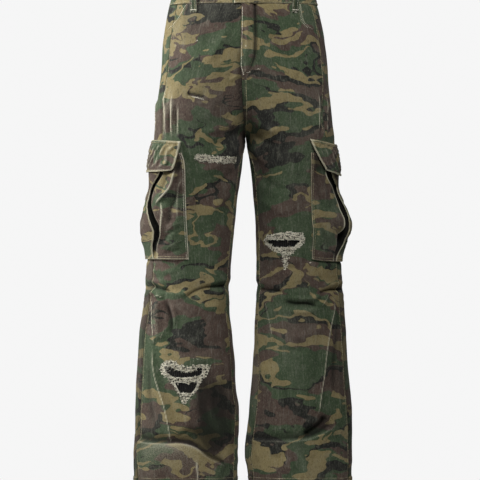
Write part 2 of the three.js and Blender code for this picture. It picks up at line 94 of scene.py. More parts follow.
def mono(points):
    pts = sorted(points)
    x = np.array([p[0] for p in pts], float)
    y = np.array([p[1] for p in pts], float)
    s = np.diff(y) / np.diff(x)
    m = np.empty_like(y)
    m[0], m[-1] = s[0], s[-1]
    a, b = s[:-1], s[1:]
    with np.errstate(divide="ignore", invalid="ignore"):
        m[1:-1] = np.where(a * b <= 0, 0.0, 2 * a * b / (a + b))
    m = np.nan_to_num(m)

    def at(q):
        q = np.clip(np.asarray(q, float), x[0], x[-1])
        i = np.clip(np.searchsorted(x, q, side="right") - 1, 0, len(x) - 2)
        h = x[i + 1] - x[i]
        t = (q - x[i]) / h
        return (y[i] * (2 * t**3 - 3 * t**2 + 1) + h * m[i] * (t**3 - 2 * t**2 + t)
                + y[i + 1] * (3 * t**2 - 2 * t**3) + h * m[i + 1] * (t**3 - t**2))
    return at


def smooth(a, b, x):
    t = np.clip((np.asarray(x, float) - a) / (b - a), 0, 1)
    return t * t * (3 - 2 * t)


def mix(a, b, t): return a + (b - a) * t


middle_at = mono(MIDDLE)


# ------------------------------------------------------------------ value noise, seeded
def lattice(seed, n=256):
    return np.random.default_rng(seed).random((n, n)) * 2 - 1


_LAT = {}


def noise(x, y, seed=0):
    """Smooth noise of period 1 cell, from -1 to 1."""
    if seed not in _LAT:
        _LAT[seed] = lattice(seed)
    g = _LAT[seed]
    x = np.asarray(x, float) + 1000.0
    y = np.asarray(y, float) + 1000.0
    xi, yi = np.floor(x).astype(int), np.floor(y).astype(int)
    tx, ty = x - xi, y - yi
    tx, ty = tx**3 * (tx * (tx * 6 - 15) + 10), ty**3 * (ty * (ty * 6 - 15) + 10)
    a, b = g[xi % 256, yi % 256], g[(xi + 1) % 256, yi % 256]
    c, d = g[xi % 256, (yi + 1) % 256], g[(xi + 1) % 256, (yi + 1) % 256]
    return mix(mix(a, b, tx), mix(c, d, tx), ty)


# ------------------------------------------------------------------ the leg surface
class Leg:
    """One side of the garment as a table of rounded sections. f is the share of a section's arc, from
    the outermost point over the front (0 to 0.5) and back round the back; q is the same in millimetres,
    negative on the back."""
    STEP, M = 2.0, 720

    def __init__(self, side):
        self.side, self.sign = side, (-1 if side == "left" else 1)
        self.z0 = -1064.0
        self.zs = np.arange(self.z0, 27.0, self.STEP)
        t = LEG_TABLE[side]
        outer, inner, front, back = (mono([(r[0], r[k]) for r in t])(self.zs) for k in (1, 2, 3, 4))
        self.outer = outer
        phi = np.linspace(0, 2 * math.pi, 961)
        c, s = np.cos(phi), np.sin(phi)
        n = np.where(s >= 0, 2.35, 2.25)
        ex = np.sign(c) * np.abs(c) ** (2 / n)
        ey = np.abs(s) ** (2 / n)
        a, ox = (outer - inner) / 2, (outer + inner) / 2
        cy = (front + back) / 2
        px = ox[:, None] + a[:, None] * ex
        py = np.where(s >= 0, cy[:, None] + (front - cy)[:, None] * ey, cy[:, None] + (back - cy)[:, None] * ey)
        mid = middle_at(self.zs) * smooth(-20, -120, self.zs)
        self.mid = mid
        X = self.sign * px + mid[:, None] * smooth(outer[:, None], 0, px)
        # smoothstep runs downwards from the outer edge to the middle
        u = np.clip((px - outer[:, None]) / (0 - outer[:, None]), 0, 1)
        X = self.sign * px + mid[:, None] * (u * u * (3 - 2 * u))
        seg = np.hypot(np.diff(X, axis=1), np.diff(py, axis=1))
        arc = np.concatenate([np.zeros((len(self.zs), 1)), np.cumsum(seg, axis=1)], axis=1)
        self.T = arc[:, -1]
        f = arc / self.T[:, None]
        g = np.linspace(0, 1, self.M + 1)
        self.X = np.stack([np.interp(g, f[i], X[i]) for i in range(len(self.zs))])
        self.Y = np.stack([np.interp(g, f[i], py[i]) for i in range(len(self.zs))])
        self.fin = f[:, 480]
        self.half = [(X[i, :481], f[i, :481]) for i in range(len(self.zs))]
        self.rear = [(X[i, 480:], f[i, 480:]) for i in range(len(self.zs))]
        # normals by differences on the dense table
        Xp = np.concatenate([self.X[:, -2:-1], self.X, self.X[:, 1:2]], axis=1)
        Yp = np.concatenate([self.Y[:, -2:-1], self.Y, self.Y[:, 1:2]], axis=1)
        dx, dy = (Xp[:, 2:] - Xp[:, :-2]) / 2, (Yp[:, 2:] - Yp[:, :-2]) / 2
        ux, uy = np.gradient(self.X, axis=0), np.gradient(self.Y, axis=0)
        uz = np.full_like(ux, self.STEP)
        # (dx, dy, 0) x (ux, uy, uz)
        nx, ny, nz = dy * uz, -dx * uz, dx * uy - dy * ux
        ln = np.sqrt(nx**2 + ny**2 + nz**2) + 1e-12
        k = -1.0 if side == "right" else 1.0
        self.N = np.stack([nx / ln * k, ny / ln * k, nz / ln * k], axis=-1)

    def row(self, z):
        r = np.clip((np.asarray(z, float) - self.z0) / self.STEP, 0, len(self.zs) - 1.001)
        i = np.floor(r).astype(int)
        return i, r - i

    def total(self, z):
        i, t = self.row(z)
        return mix(self.T[i], self.T[i + 1], t)

    def at(self, f, z):
        """Points and unit normals, millimetres."""
        f, z = np.broadcast_arrays(np.asarray(f, float), np.asarray(z, float))
        i, t = self.row(z)
        g = (f % 1.0) * self.M
        j = np.floor(g).astype(int) % self.M
        s = g - np.floor(g)
        def bl(A):
            if A.ndim == 3:
                tt, ss = t[..., None], s[..., None]
            else:
                tt, ss = t, s
            return mix(mix(A[i, j], A[i, j + 1], ss), mix(A[i + 1, j], A[i + 1, j + 1], ss), tt)
        P = np.stack([bl(self.X), bl(self.Y), z], axis=-1)
        N = bl(self.N)
        N = N / np.linalg.norm(N, axis=-1, keepdims=True)
        return P, N

    def find(self, x, z, face=-1):
        """Share of the arc where x is passed, on the front (face -1) or the back."""
        x, z = np.broadcast_arrays(np.asarray(x, float), np.asarray(z, float))
        out = np.empty(x.size)
        i, t = self.row(z.ravel())
        xs = x.ravel() * self.sign
        for r in np.unique(i):
            m = i == r
            v = []
            for k in (r, r + 1):
                X, F = self.half[k] if face < 0 else self.rear[k]
                X = X * self.sign
                if face < 0:
                    v.append(np.interp(xs[m], X[::-1], F[::-1]))
                else:
                    v.append(np.interp(xs[m], X, F))
            out[m] = mix(v[0], v[1], t[m])
        return out.reshape(x.shape)

    def q(self, f, z):
        f = f % 1.0
        return np.where(f > 0.5 + 0.02, f - 1, f) * self.total(z)

    def f_of(self, q, z):
        return (np.asarray(q, float) / self.total(z)) % 1.0


LEGS = {s: Leg(s) for s in ("left", "right")}

OUT_INSET = {   # how far the outseam lies in from the silhouette, by height
    "left": mono([(20, 15), (-100, 14), (-260, 17), (-620, 13), (-800, 11), (-1051, 11)]),
    "right": mono([(20, 14), (-80, 12.5), (-170, 12), (-260, 21), (-420, 16), (-620, 8), (-700, 9), (-870, 10), (-1051, 9)]),
}
IN_INSET = {
    "left": mono([(-301, 2), (-380, 6), (-620, 6), (-880, 7), (-1051, 8)]),
    "right": mono([(-301, 2), (-380, 8), (-620, 5), (-700, 5), (-830, 16), (-940, 14), (-1051, 8)]),
}


def panel_edges(side, z):
    """Shares of the arc at the outseam and at the inner edges of the front and the back."""
    L = LEGS[side]
    i, t = L.row(z)
    outer = mix(L.outer[i], L.outer[i + 1], t)
    mid = mix(L.mid[i], L.mid[i + 1], t)
    fo = L.find(L.sign * (outer - OUT_INSET[side](z)), z)
    clip = mid + L.sign * 0.15
    ff = L.find(clip, z)
    fb = L.find(clip, z, face=1)
    fin = mix(L.fin[i], L.fin[i + 1], t)
    inner_x = L.at(fin, z)[0][..., 0]
    seam = L.find(inner_x + L.sign * IN_INSET[side](z), z)
    seam = mix(fin, seam, smooth(CROTCH_Z, CROTCH_Z - 60, z))
    up = z > CROTCH_Z + 0.01
    d = 0.15 / L.total(z)
    return fo, np.where(up, ff, seam - d), np.where(up, fb, seam + d), np.where(up, clip, np.nan)


# ------------------------------------------------------------------ folds
# Each fold runs along a line charted on the front, or on the back (back=True, charted as seen through
# from the front). lift is its height in millimetres, below 0 for a trough, w its half width.
# kind: round, sharp (a pressed crease), step (the cloth on the right of its direction stands out by lift
# and falls back over reach).
# dark is the strength of the painted shade laid along the fold: in its trough, and for a step in the hollow above the
# lip.
def F(side, pts, lift, w, kind="round", back=False, reach=30.0, ends=0.3, ends2=None, dark=None):
    if dark is None:
        dark = 0.5 if (kind == "sharp" and lift < 0) else (0.16 if lift <= -3 else 0.0)
    return dict(side=side, pts=pts, lift=lift, w=w, kind=kind, back=back, reach=reach, ends=ends,
                ends2=ends if ends2 is None else ends2, dark=dark)


FOLDS = [
    # ---- left leg, thigh: gathers over the flap
    F("left", [(157, 96), (157, 118), (156.5, 138)], 4.4, 3.4, "sharp"),
    F("left", [(161.5, 100), (161.5, 122), (161, 140)], -4.2, 3.4, dark=0.2),
    F("left", [(166, 88), (166, 118), (166, 138)], 5.0, 3.6, "sharp"),
    F("left", [(169, 100), (169, 125), (169, 140)], -4.0, 2.8, dark=0.25),
    F("left", [(172.5, 92), (172, 120), (172, 139)], 4.4, 3.2, "sharp"),
    F("left", [(175.5, 102), (175.5, 126), (175.5, 140)], -3.6, 2.8, dark=0.25),
    F("left", [(178.5, 104), (178.5, 122), (178.5, 138)], 2.6, 3.0, "sharp"),
    # ---- a slash and the strained cloth round the foot of the fly
    F("left", [(187, 93.2), (195, 94.6), (204.5, 97.2)], -2.6, 6.0, "sharp", ends=0.12, dark=1.6),
    F("right", [(247, 73.5), (255, 70.6), (263, 67.5)], 1.8, 1.8, "sharp"),
    F("right", [(247, 77), (255, 75.6), (261, 75.4)], 1.6, 1.7, "sharp"),
    F("right", [(246, 80), (253, 82), (259, 86)], 1.6, 1.9, "sharp"),
    F("right", [(247, 75.2), (256, 72.8), (262, 71.2)], -1.8, 1.6, "sharp"),
    F("left", [(242, 76), (235, 77.5), (229, 81)], 1.6, 2.0, "sharp"),
    F("right", [(262, 30), (274, 44), (283, 62)], -2.4, 9),
    F("right", [(268, 24), (282, 36), (294, 52)], 2.2, 9),
    F("left", [(228, 28), (219, 46), (206, 62)], 2.0, 10),
    # ---- left leg, thigh: soft drags towards the crotch and the pocket
    F("left", [(238, 118), (222, 128), (203, 133)], 3.0, 9),
    F("left", [(238, 130), (224, 141), (206, 146)], -3.0, 8),
    F("left", [(240, 144), (228, 156), (212, 168), (198, 176)], 3.2, 10),
    F("left", [(236, 168), (222, 182), (206, 192)], -2.6, 10),
    F("left", [(232, 190), (218, 204), (204, 214)], 2.6, 10),
    F("left", [(190, 180), (193, 215), (191, 250)], -2.0, 9),
    F("left", [(214, 196), (212, 226), (205, 258)], 2.0, 14),
    F("left", [(189, 262), (205, 268), (226, 266)], -2.2, 8),
    F("left", [(150, 270), (164, 272), (180, 269)], 2.0, 7),
    # ---- left knee: sewn dart with the cloth sagging beneath it
    F("left", [(143, 285.5), (152, 286.5), (161, 289), (171, 291.5)], -5.6, 3.6, "sharp", ends=0.12, dark=0.95),
    F("left", [(232, 286), (218, 286.8), (204, 288), (192, 292.5), (185, 298.5)], -5.6, 3.6, "sharp", ends=0.12, dark=0.95),
    F("left", [(143, 281), (156, 282.5), (168, 285.5)], 2.6, 6),
    F("left", [(230, 281), (212, 282), (196, 286)], 2.6, 6),
    F("left", [(146, 292.5), (156, 294), (166, 296)], 2.8, 6),
    F("left", [(228, 292), (212, 293), (200, 296)], 3.0, 7),
    F("left", [(171, 290), (180, 295), (190, 291)], 2.4, 6),
    # the pad of cloth that hangs beside the outseam, and its worn edges
    F("left", [(158, 298), (156.5, 312), (157, 328), (160, 342)], 6.8, 8, ends=0.2),
    F("left", [(152.5, 298), (152.6, 316), (153.4, 334), (153.4, 346)], 4.2, 2.8, "sharp", ends=0.12),
    F("left", [(153, 297.5), (158, 296.2), (163.5, 298)], 3.8, 2.6, "sharp"),
    F("left", [(163, 300), (168, 310), (171, 324), (170, 338)], -6.0, 5, dark=0.45),
    F("left", [(171, 304), (175, 316), (175, 328)], 4.4, 4.5),
    F("left", [(166, 326), (162.5, 334), (160, 341)], 2.2, 3.0, "sharp"),
    F("left", [(153, 346), (152.7, 360), (154.3, 376), (158.5, 391), (164, 408), (167.5, 424), (170, 443)], 4.4, 3.4,
      "sharp", ends=0.12, ends2=0.06),
    F("left", [(148, 350), (147.5, 380), (150, 410), (157, 438)], -3.6, 8),
    F("left", [(160, 352), (160, 372), (165, 392), (172, 412), (176, 434)], -2.2, 8),
    # sag lines of the shin
    F("left", [(172, 330), (184, 340), (200, 341), (214, 333)], 2.6, 7),
    F("left", [(176, 344), (192, 351), (208, 349), (222, 338)], -2.6, 7),
    F("left", [(196, 300), (206, 308), (222, 304)], 2.4, 8),
    F("left", [(190, 312), (204, 322), (224, 318)], -2.2, 8),
    F("left", [(206, 360), (214, 380), (217, 402), (214, 424)], -2.6, 11),
    F("left", [(226, 350), (229, 380), (231, 410)], 2.4, 8),
    F("left", [(175, 437.5), (183, 434.5), (191, 430)], -2.6, 3.2, "sharp", ends=0.4),
    F("left", [(172, 432), (180, 429), (190, 425)], 2.2, 5),
    F("left", [(186, 410), (192, 424), (204, 436)], 2.6, 8),
    # break over the foot
    F("left", [(139, 441), (147, 443.2), (166, 444.6), (184, 444.8), (197, 449.5), (209, 458.5), (226, 467)], 14.0, 4.4,
      "step", reach=30, ends=0.08, ends2=0.1, dark=1.0),
    F("left", [(180, 428), (198, 434), (212, 444), (228, 452)], -11.0, 15, ends=0.4, dark=0.50),
    # wide shallow troughs that mostly carry painted shade over the lower shin
    F("left", [(214, 376), (220, 404), (224, 430), (230, 450)], -2.0, 38, ends=0.25, dark=1.0),
    F("left", [(200, 356), (203, 380), (202, 410), (210, 436), (224, 452)], -1.6, 17, ends=0.2, dark=0.9),
    F("left", [(150, 449), (170, 450), (186, 451)], 2.4, 6),
    F("left", [(195.5, 458), (196.5, 468), (197.5, 482), (197, 490)], 3.4, 4.0, "sharp"),
    F("left", [(203, 462), (205, 475), (206, 490)], -2.4, 6),
    F("left", [(160, 458), (166, 470), (180, 476)], -2.6, 8),
    F("left", [(150, 470), (156, 480), (158, 490)], 2.2, 8),
    # ---- right leg, thigh
    F("right", [(318, 90), (318, 116), (318, 136)], 4.6, 3.4, "sharp"),
    F("right", [(322, 96), (322, 120), (322, 138)], -4.2, 3.2, dark=0.3),
    F("right", [(326, 90), (326, 118), (326.5, 139)], 4.4, 3.4, "sharp"),
    F("right", [(313, 106), (313, 120), (313, 135)], -1.6, 3.4),
    F("right", [(250, 118), (266, 128), (284, 132)], 3.0, 9),
    F("right", [(250, 131), (264, 142), (282, 146)], -2.8, 8),
    F("right", [(252, 146), (262, 158), (278, 168)], 3.0, 10),
    F("right", [(256, 170), (270, 184), (288, 192)], -2.4, 10),
    F("right", [(260, 196), (274, 208), (292, 214)], 2.4, 10),
    F("right", [(306, 176), (302, 205), (304, 236)], -1.8, 8),
    F("right", [(264, 262), (284, 268), (306, 266)], -2.4, 8),
    # ---- right knee
    F("right", [(256, 287), (262, 289), (272, 290.3), (283, 291.6)], -5.6, 3.6, "sharp", ends=0.12, dark=0.95),
    F("right", [(345, 288.6), (336, 289.8), (328, 290.4), (318, 294)], -5.6, 3.6, "sharp", ends=0.12, dark=0.95),
    F("right", [(258, 282), (272, 284.5), (284, 286)], 2.6, 6),
    F("right", [(344, 283), (332, 285), (318, 288)], 2.6, 6),
    F("right", [(288, 296), (300, 299.5), (314, 298.5), (324, 294)], 4.6, 5.5),
    F("right", [(284, 301), (294, 303.6), (305, 303.2), (318, 306.5)], -7.0, 4.4, "sharp", ends=0.2, dark=0.8),
    F("right", [(280, 309), (296, 312), (312, 311), (322, 308)], 3.6, 6),
    F("right", [(282, 330), (296, 337), (312, 334), (324, 326)], 2.2, 8),
    F("right", [(278, 344), (292, 351), (310, 348)], -2.2, 8),
    F("right", [(330, 292.5), (326, 300), (321, 308)], 2.8, 3.4, "sharp"),
    F("right", [(325, 293), (321, 298), (317, 303)], -2.4, 3.0),
    F("right", [(265, 293), (267.5, 308), (271, 326), (274.5, 346)], 2.8, 4.2, "sharp"),
    F("right", [(270, 296), (273, 312), (277, 330)], -2.4, 5),
    F("right", [(335, 298), (333.6, 312), (330, 330), (327, 350), (324.5, 374), (321.5, 396), (318.6, 418)], 4.6, 3.2,
      "sharp", ends=0.12),
    F("right", [(339, 306), (338, 330), (335, 360), (334, 392)], -3.0, 7, dark=0.4),
    # a wide shallow trough that mostly carries painted shade beside the shin's crease
    F("right", [(342, 330), (338, 366), (334, 398)], -1.0, 20, ends=0.25, dark=0.34),
    F("right", [(322, 330), (318, 356), (314, 384), (308, 408)], -2.2, 8),
    F("right", [(262, 350), (263, 380), (262, 410)], 2.2, 8),
    F("right", [(290, 372), (288, 396), (282, 420)], -2.0, 12),
    F("right", [(338, 372), (341, 396), (340, 420)], 2.6, 6),
    # break over the foot
    F("right", [(244, 438), (252, 440), (276, 441.3), (300, 440.4), (310, 438.6), (322, 433.5), (334, 425.5)], 10.0, 3.8,
      "step", reach=22, ends=0.08, dark=0.6),
    F("right", [(304, 436), (313, 430), (322, 424), (327, 416)], -11.0, 8, ends=0.15, dark=0.6),
    F("right", [(331, 420), (336, 428), (344, 436)], 4.2, 7),
    F("right", [(256, 452), (272, 458), (290, 458)], -2.6, 8),
    F("right", [(300, 452), (306, 466), (306, 488)], 3.0, 6),
    F("right", [(322, 446), (334, 462), (340, 486)], -2.6, 8),
    F("right", [(270, 470), (280, 480), (284, 490)], 2.2, 8),
    # ---- backs, like the fronts
    F("left", [(205, 20), (190, 60), (178, 110)], 2.0, 14, back=True),
    F("right", [(283, 20), (300, 60), (312, 112)], 2.0, 14, back=True),
    F("left", [(238, 148), (220, 158), (196, 160), (172, 152)], -5.0, 8, back=True),
    F("left", [(240, 160), (222, 170), (198, 174), (176, 168)], 4.4, 9, back=True),
    F("left", [(236, 176), (216, 186), (196, 188)], -3.4, 9, back=True),
    F("right", [(250, 150), (268, 160), (290, 161), (316, 154)], -5.0, 8, back=True),
    F("right", [(250, 162), (268, 172), (292, 175), (314, 170)], 4.4, 9, back=True),
    F("right", [(252, 180), (270, 188), (294, 190)], -3.2, 9, back=True),
    F("left", [(146, 278), (164, 286), (188, 289), (206, 284)], -5.2, 5, "sharp", back=True),
    F("left", [(228, 290), (208, 299), (184, 302), (162, 296)], -5.0, 6, back=True),
    F("left", [(150, 286), (170, 294), (194, 296), (216, 291)], 4.4, 6, back=True),
    F("left", [(226, 300), (204, 311), (180, 313), (158, 305)], 4.2, 8, back=True),
    F("left", [(224, 318), (202, 328), (176, 330), (152, 322)], -3.4, 9, back=True),
    F("right", [(342, 280), (324, 288), (300, 291), (282, 286)], -5.2, 5, "sharp", back=True),
    F("right", [(258, 291), (280, 301), (304, 304), (326, 297)], -4.8, 6, back=True),
    F("right", [(338, 288), (318, 296), (294, 298), (272, 292)], 4.4, 6, back=True),
    F("right", [(260, 302), (284, 313), (310, 314), (332, 306)], 4.0, 8, back=True),
    F("right", [(262, 320), (286, 330), (312, 331), (336, 323)], -3.4, 9, back=True),
    F("left", [(150, 340), (156, 380), (168, 425)], 3.2, 7, back=True),
    F("right", [(338, 340), (332, 384), (318, 424)], 3.2, 7, back=True),
    F("left", [(212, 345), (206, 390), (190, 432)], -3.0, 12, back=True),
    F("right", [(276, 345), (284, 390), (300, 430)], -3.0, 12, back=True),
    F("left", [(140, 448), (160, 453), (190, 454), (216, 462), (232, 466)], 8.0, 5, "step", back=True, reach=26),
    F("right", [(348, 446), (328, 452), (300, 453), (272, 460), (252, 464)], 8.0, 5, "step", back=True, reach=26),
    F("left", [(178, 460), (182, 476), (180, 490)], 3.0, 6, back=True),
    F("right", [(312, 460), (308, 476), (308, 490)], 3.0, 6, back=True),
]


def resampled(pts, step):
    pts = np.asarray(pts, float)
    seg = np.linalg.norm(np.diff(pts, axis=0), axis=1)
    s = np.concatenate([[0], np.cumsum(seg)])
    # a rounded line through the charted points
    n = max(8, int(s[-1] / step))
    u = np.linspace(0, s[-1], n)
    out = []
    for k in range(pts.shape[1]):
        m = np.gradient(pts[:, k], s) if len(s) > 2 else np.full(len(s), (pts[-1, k] - pts[0, k]) / s[-1])
        i = np.clip(np.searchsorted(s, u, side="right") - 1, 0, len(s) - 2)
        h = s[i + 1] - s[i]
        t = (u - s[i]) / h
        out.append(pts[i, k] * (2*t**3 - 3*t**2 + 1) + h * m[i] * (t**3 - 2*t**2 + t)
                   + pts[i + 1, k] * (3*t**2 - 2*t**3) + h * m[i + 1] * (t**3 - t**2))
    return np.stack(out, axis=1)


for f in FOLDS:
    L = LEGS[f["side"]]
    if f["back"]:
        f["lift"] *= 0.88
    p = np.array(f["pts"], float)
    x, z = cx(p[:, 0]), cz(p[:, 1])
    q = L.q(L.find(x, z, face=1 if f["back"] else -1), z)
    if f["back"]:
        q = np.where(q > 0, q - L.total(z), q)
    f["line"] = resampled(np.stack([q, z], axis=1), 7.0)


def along(line, q, z):
    """Nearest distance, signed distance (positive on the right of the line's direction) and share."""
    best = np.full(q.shape, 1e9)
    sd = np.zeros(q.shape)
    share = np.zeros(q.shape)
    n = len(line) - 1
    seg = np.diff(line, axis=0)
    ln = np.hypot(seg[:, 0], seg[:, 1])
    cum = np.concatenate([[0], np.cumsum(ln)])
    for k in range(n):
        dx, dz = seg[k]
        t = ((q - line[k, 0]) * dx + (z - line[k, 1]) * dz) / (ln[k] ** 2 + 1e-9)
        tc = np.clip(t, 0, 1)
        ex, ez = q - line[k, 0] - tc * dx, z - line[k, 1] - tc * dz
        d = np.hypot(ex, ez)
        m = d < best
        best = np.where(m, d, best)
        cross = (ex * dz - ez * dx) / (ln[k] + 1e-9)
        sd = np.where(m, np.sign(cross) * d, sd)
        share = np.where(m, (cum[k] + tc * ln[k]) / cum[-1], share)
    return best, sd, share


def fold_field(side, q, z):
    """Displacement of the cloth, and how far it is rubbed, with a painted highlight on the top of each step's lip, at
    places on one side.
    """
    shape = np.broadcast(q, z).shape
    q = np.broadcast_to(q, shape).ravel()
    z = np.broadcast_to(z, shape).ravel()
    D, wear_and_highlight = np.zeros(q.size), np.zeros(q.size)
    # left charts run with q falling to the right, so their right hand is mirrored
    hand = -1.0 if side == "right" else 1.0
    for f in FOLDS:
        if f["side"] != side:
            continue
        line, w = f["line"], f["w"]
        pad = (w * 3 if f["kind"] != "step" else max(w * 4, f["reach"] * 3)) + 4
        lo, hi = line.min(axis=0) - pad, line.max(axis=0) + pad
        T = 640.0
        for shift in (0.0,):
            m = (q > lo[0]) & (q < hi[0]) & (z > lo[1]) & (z < hi[1])
            if not m.any():
                continue
            d, sd, t = along(line, q[m], z[m])
            amp = f["lift"] * smooth(0, f["ends"], t + 0.02) * smooth(0, f["ends2"], 1.02 - t)
            if f["kind"] == "round":
                v = np.exp(-(d / w) ** 2)
                D[m] += amp * v
                wear_and_highlight[m] += np.clip(0.06 * amp * v, 0, 0.3)
            elif f["kind"] == "sharp":
                e = 0.22 * w
                v = np.exp(-(np.sqrt(d * d + e * e) - e) / w)
                D[m] += amp * v
                wear_and_highlight[m] += np.clip(0.25 * amp, 0, 1.1) * np.exp(-(d / (0.40 * w)) ** 2)
            else:
                s = sd * hand * (-1 if f["back"] else 1)
                lipw = w * 0.55
                v = 0.5 * (1 + np.tanh(s / lipw)) * np.exp(-np.clip(s, 0, None) / f["reach"])
                endfade = np.exp(-np.clip(d - np.abs(sd), 0, None) / 6)
                D[m] += amp * v
                D[m] += -0.35 * amp * np.exp(-((s + w * 2.2) / (w * 2.2)) ** 2)
                # a pale line along the top of the lip: painted highlight
                wear_and_highlight[m] += 0.032 * amp * np.exp(-((s - w * 0.5) / (w * 0.6)) ** 2)
    return D.reshape(shape), wear_and_highlight.reshape(shape)


def painted_shade_field(side, q, z, part):
    """Painted shade: darker cloth at the bottom of creases, beside the seams and in shaded places of the fronts and
    backs.
    """
    q, z = np.broadcast_arrays(np.asarray(q, float), np.asarray(z, float))
    out = np.zeros(q.shape)
    for f in FOLDS:
        if f["side"] != side or f["dark"] <= 0:
            continue
        line, w = f["line"], f["w"]
        pad = w * 3 + 4
        lo, hi = line.min(axis=0) - pad, line.max(axis=0) + pad
        m = (q > lo[0]) & (q < hi[0]) & (z > lo[1]) & (z < hi[1])
        if not m.any():
            continue
        d, sd, t = along(line, q[m], z[m])
        amp = f["dark"] * smooth(0, f["ends"], t + 0.02) * smooth(0, f["ends2"], 1.02 - t)
        if f["kind"] == "step":
            s = sd * (-1.0 if side == "right" else 1.0) * (-1 if f["back"] else 1)
            # painted shade in the hollow above the lip
            out[m] += amp * np.exp(-((s + 1.3 * w) / (1.1 * w)) ** 2)
            continue
        k = 0.42 if f["kind"] == "sharp" else 0.8
        out[m] += amp * np.exp(-(d / (k * w)) ** 2)
    qo, qf, qb = edges_q(side, z)
    # painted shade in the outseam's groove
    out += 0.42 * np.exp(-((q - qo - 0.4) / 1.5) ** 2) * (0.7 + 0.5 * noise(z / 14, z * 0, 31))
    # more painted shade beside the outseam on the lower left leg
    if side == "left":
        low = smooth(-600, -625, z) * (0.75 + 0.45 * noise(z / 19, z * 0, 32))
        out += low * (0.5 * np.exp(-((q - qo - 0.6) / 1.5) ** 2) + 0.75 * np.exp(-((q - qo + 6.6) / 1.7) ** 2))
    inner = (qf - q) if part == "front" else (q - qb)
    # painted shade along the inner edge below the crotch
    out += 0.35 * np.exp(-(inner / 2.0) ** 2) * smooth(CROTCH_Z + 4, CROTCH_Z - 20, z)
    # painted shade in the crease beside the J stitching
    if part == "front" and side == "right":
        j, sj = jline_distance(q, z)
        out += 1.1 * np.exp(-((sj + 2.0) / 3.3) ** 2) * smooth(-172, -140, z)
    if part == "back":
        # painted shade on the strip behind the outseam
        out += (0.55 if side == "left" else 0.40) * smooth(-40, -22, q - qo) * smooth(-585, -615, z) * (0.85 + 0.3 * noise(z / 33, q / 15, 34))
    if part == "front":
        # shaded hollow of the rise under the fly
        deep = (0.90, 15.0) if side == "left" else (0.25, 7.0)
        out += deep[0] * np.exp(-((inner + 1.0) / deep[1]) ** 2) * smooth(-300, -250, z) * smooth(-90, -140, z)
        x = L_x(side, q, z)
        # painted shade over two areas of the left front, at the hip and down the thigh beside the fly
        if side == "left":
            out += 0.30 * smooth(180, 186, x) * smooth(212, 200, x) * smooth(cz(50), cz(36), z)
            out += 0.24 * smooth(177, 184, x) * smooth(240, 215, x) * smooth(cz(140), cz(126), z) * smooth(cz(52), cz(66), z)
    return out


def L_x(side, q, z):
    """Chart place across the front of a place on the leg."""
    L = LEGS[side]
    P, _ = L.at(q / L.total(z), z)
    return P[..., 0] / UNIT + MID


def cloth_noise(side, q, z):
    """Slight unevenness of washed cloth."""
    k = 3 if side == "left" else 11
    n = 1.5 * noise(q / 74, z / 110, k) + 0.8 * noise(q / 30, z / 46, k + 1)
    n = n + 0.28 * noise(q / 11, z / 17, k + 2)
    # fine puckers that run along the drag of the knees
    kn = np.exp(-((z + 625) / 42) ** 2)
    n = n + kn * 1.1 * noise(q / 16, z / 8, k + 3)
    hem = np.exp(-((z + 1000) / 60) ** 2)
    n = n + hem * 1.0 * noise(q / 26, z / 16, k + 4)
    return n


# ------------------------------------------------------------------ meshes
def make_mesh(name, co, polys, uv=None, attrs=None, mat=None, sharp=None):
    """One object from points in millimetres and lists of equal-sided polygons."""
    co = np.asarray(co, float) * MM
    polys = [np.asarray(p, np.int64) for p in polys if len(p)]
    used = np.zeros(len(co), bool)
    for p in polys:
        used[p.ravel()] = True
    renum = np.cumsum(used) - 1
    polys = [renum[p] for p in polys]
    me = bpy.data.meshes.new(name)
    me.vertices.add(int(used.sum()))
    me.vertices.foreach_set("co", co[used].astype(np.float32).ravel())
    loops = np.concatenate([p.ravel() for p in polys])
    sizes = np.concatenate([np.full(len(p), p.shape[1]) for p in polys])
    starts = np.concatenate([[0], np.cumsum(sizes)[:-1]])
    me.loops.add(len(loops))
    me.loops.foreach_set("vertex_index", loops.astype(np.int32))
    me.polygons.add(len(sizes))
    me.polygons.foreach_set("loop_start", starts.astype(np.int32))
    me.polygons.foreach_set("loop_total", sizes.astype(np.int32))
    me.polygons.foreach_set("use_smooth", np.ones(len(sizes), bool))
    me.update(calc_edges=True)
    if uv is not None:
        layer = me.uv_layers.new(name="Cut")
        layer.data.foreach_set("uv", np.asarray(uv, float)[used][loops].astype(np.float32).ravel())
    for key, val in (attrs or {}).items():
        a = me.attributes.new(key, "FLOAT", "POINT")
        a.data.foreach_set("value", np.broadcast_to(np.asarray(val, float), (len(co),))[used].astype(np.float32))
    me.validate()
    ob = bpy.data.objects.new(name, me)
    bpy.context.scene.collection.objects.link(ob)
    if mat is not None:
        me.materials.append(mat)
    return ob


def min_around(D, k=2):
    R, C = D.shape
    out = D.copy()
    pad = np.pad(D, k, mode="edge")
    for a in range(2 * k + 1):
        for b in range(2 * k + 1):
            out = np.minimum(out, pad[a:a + R, b:b + C])
    return out


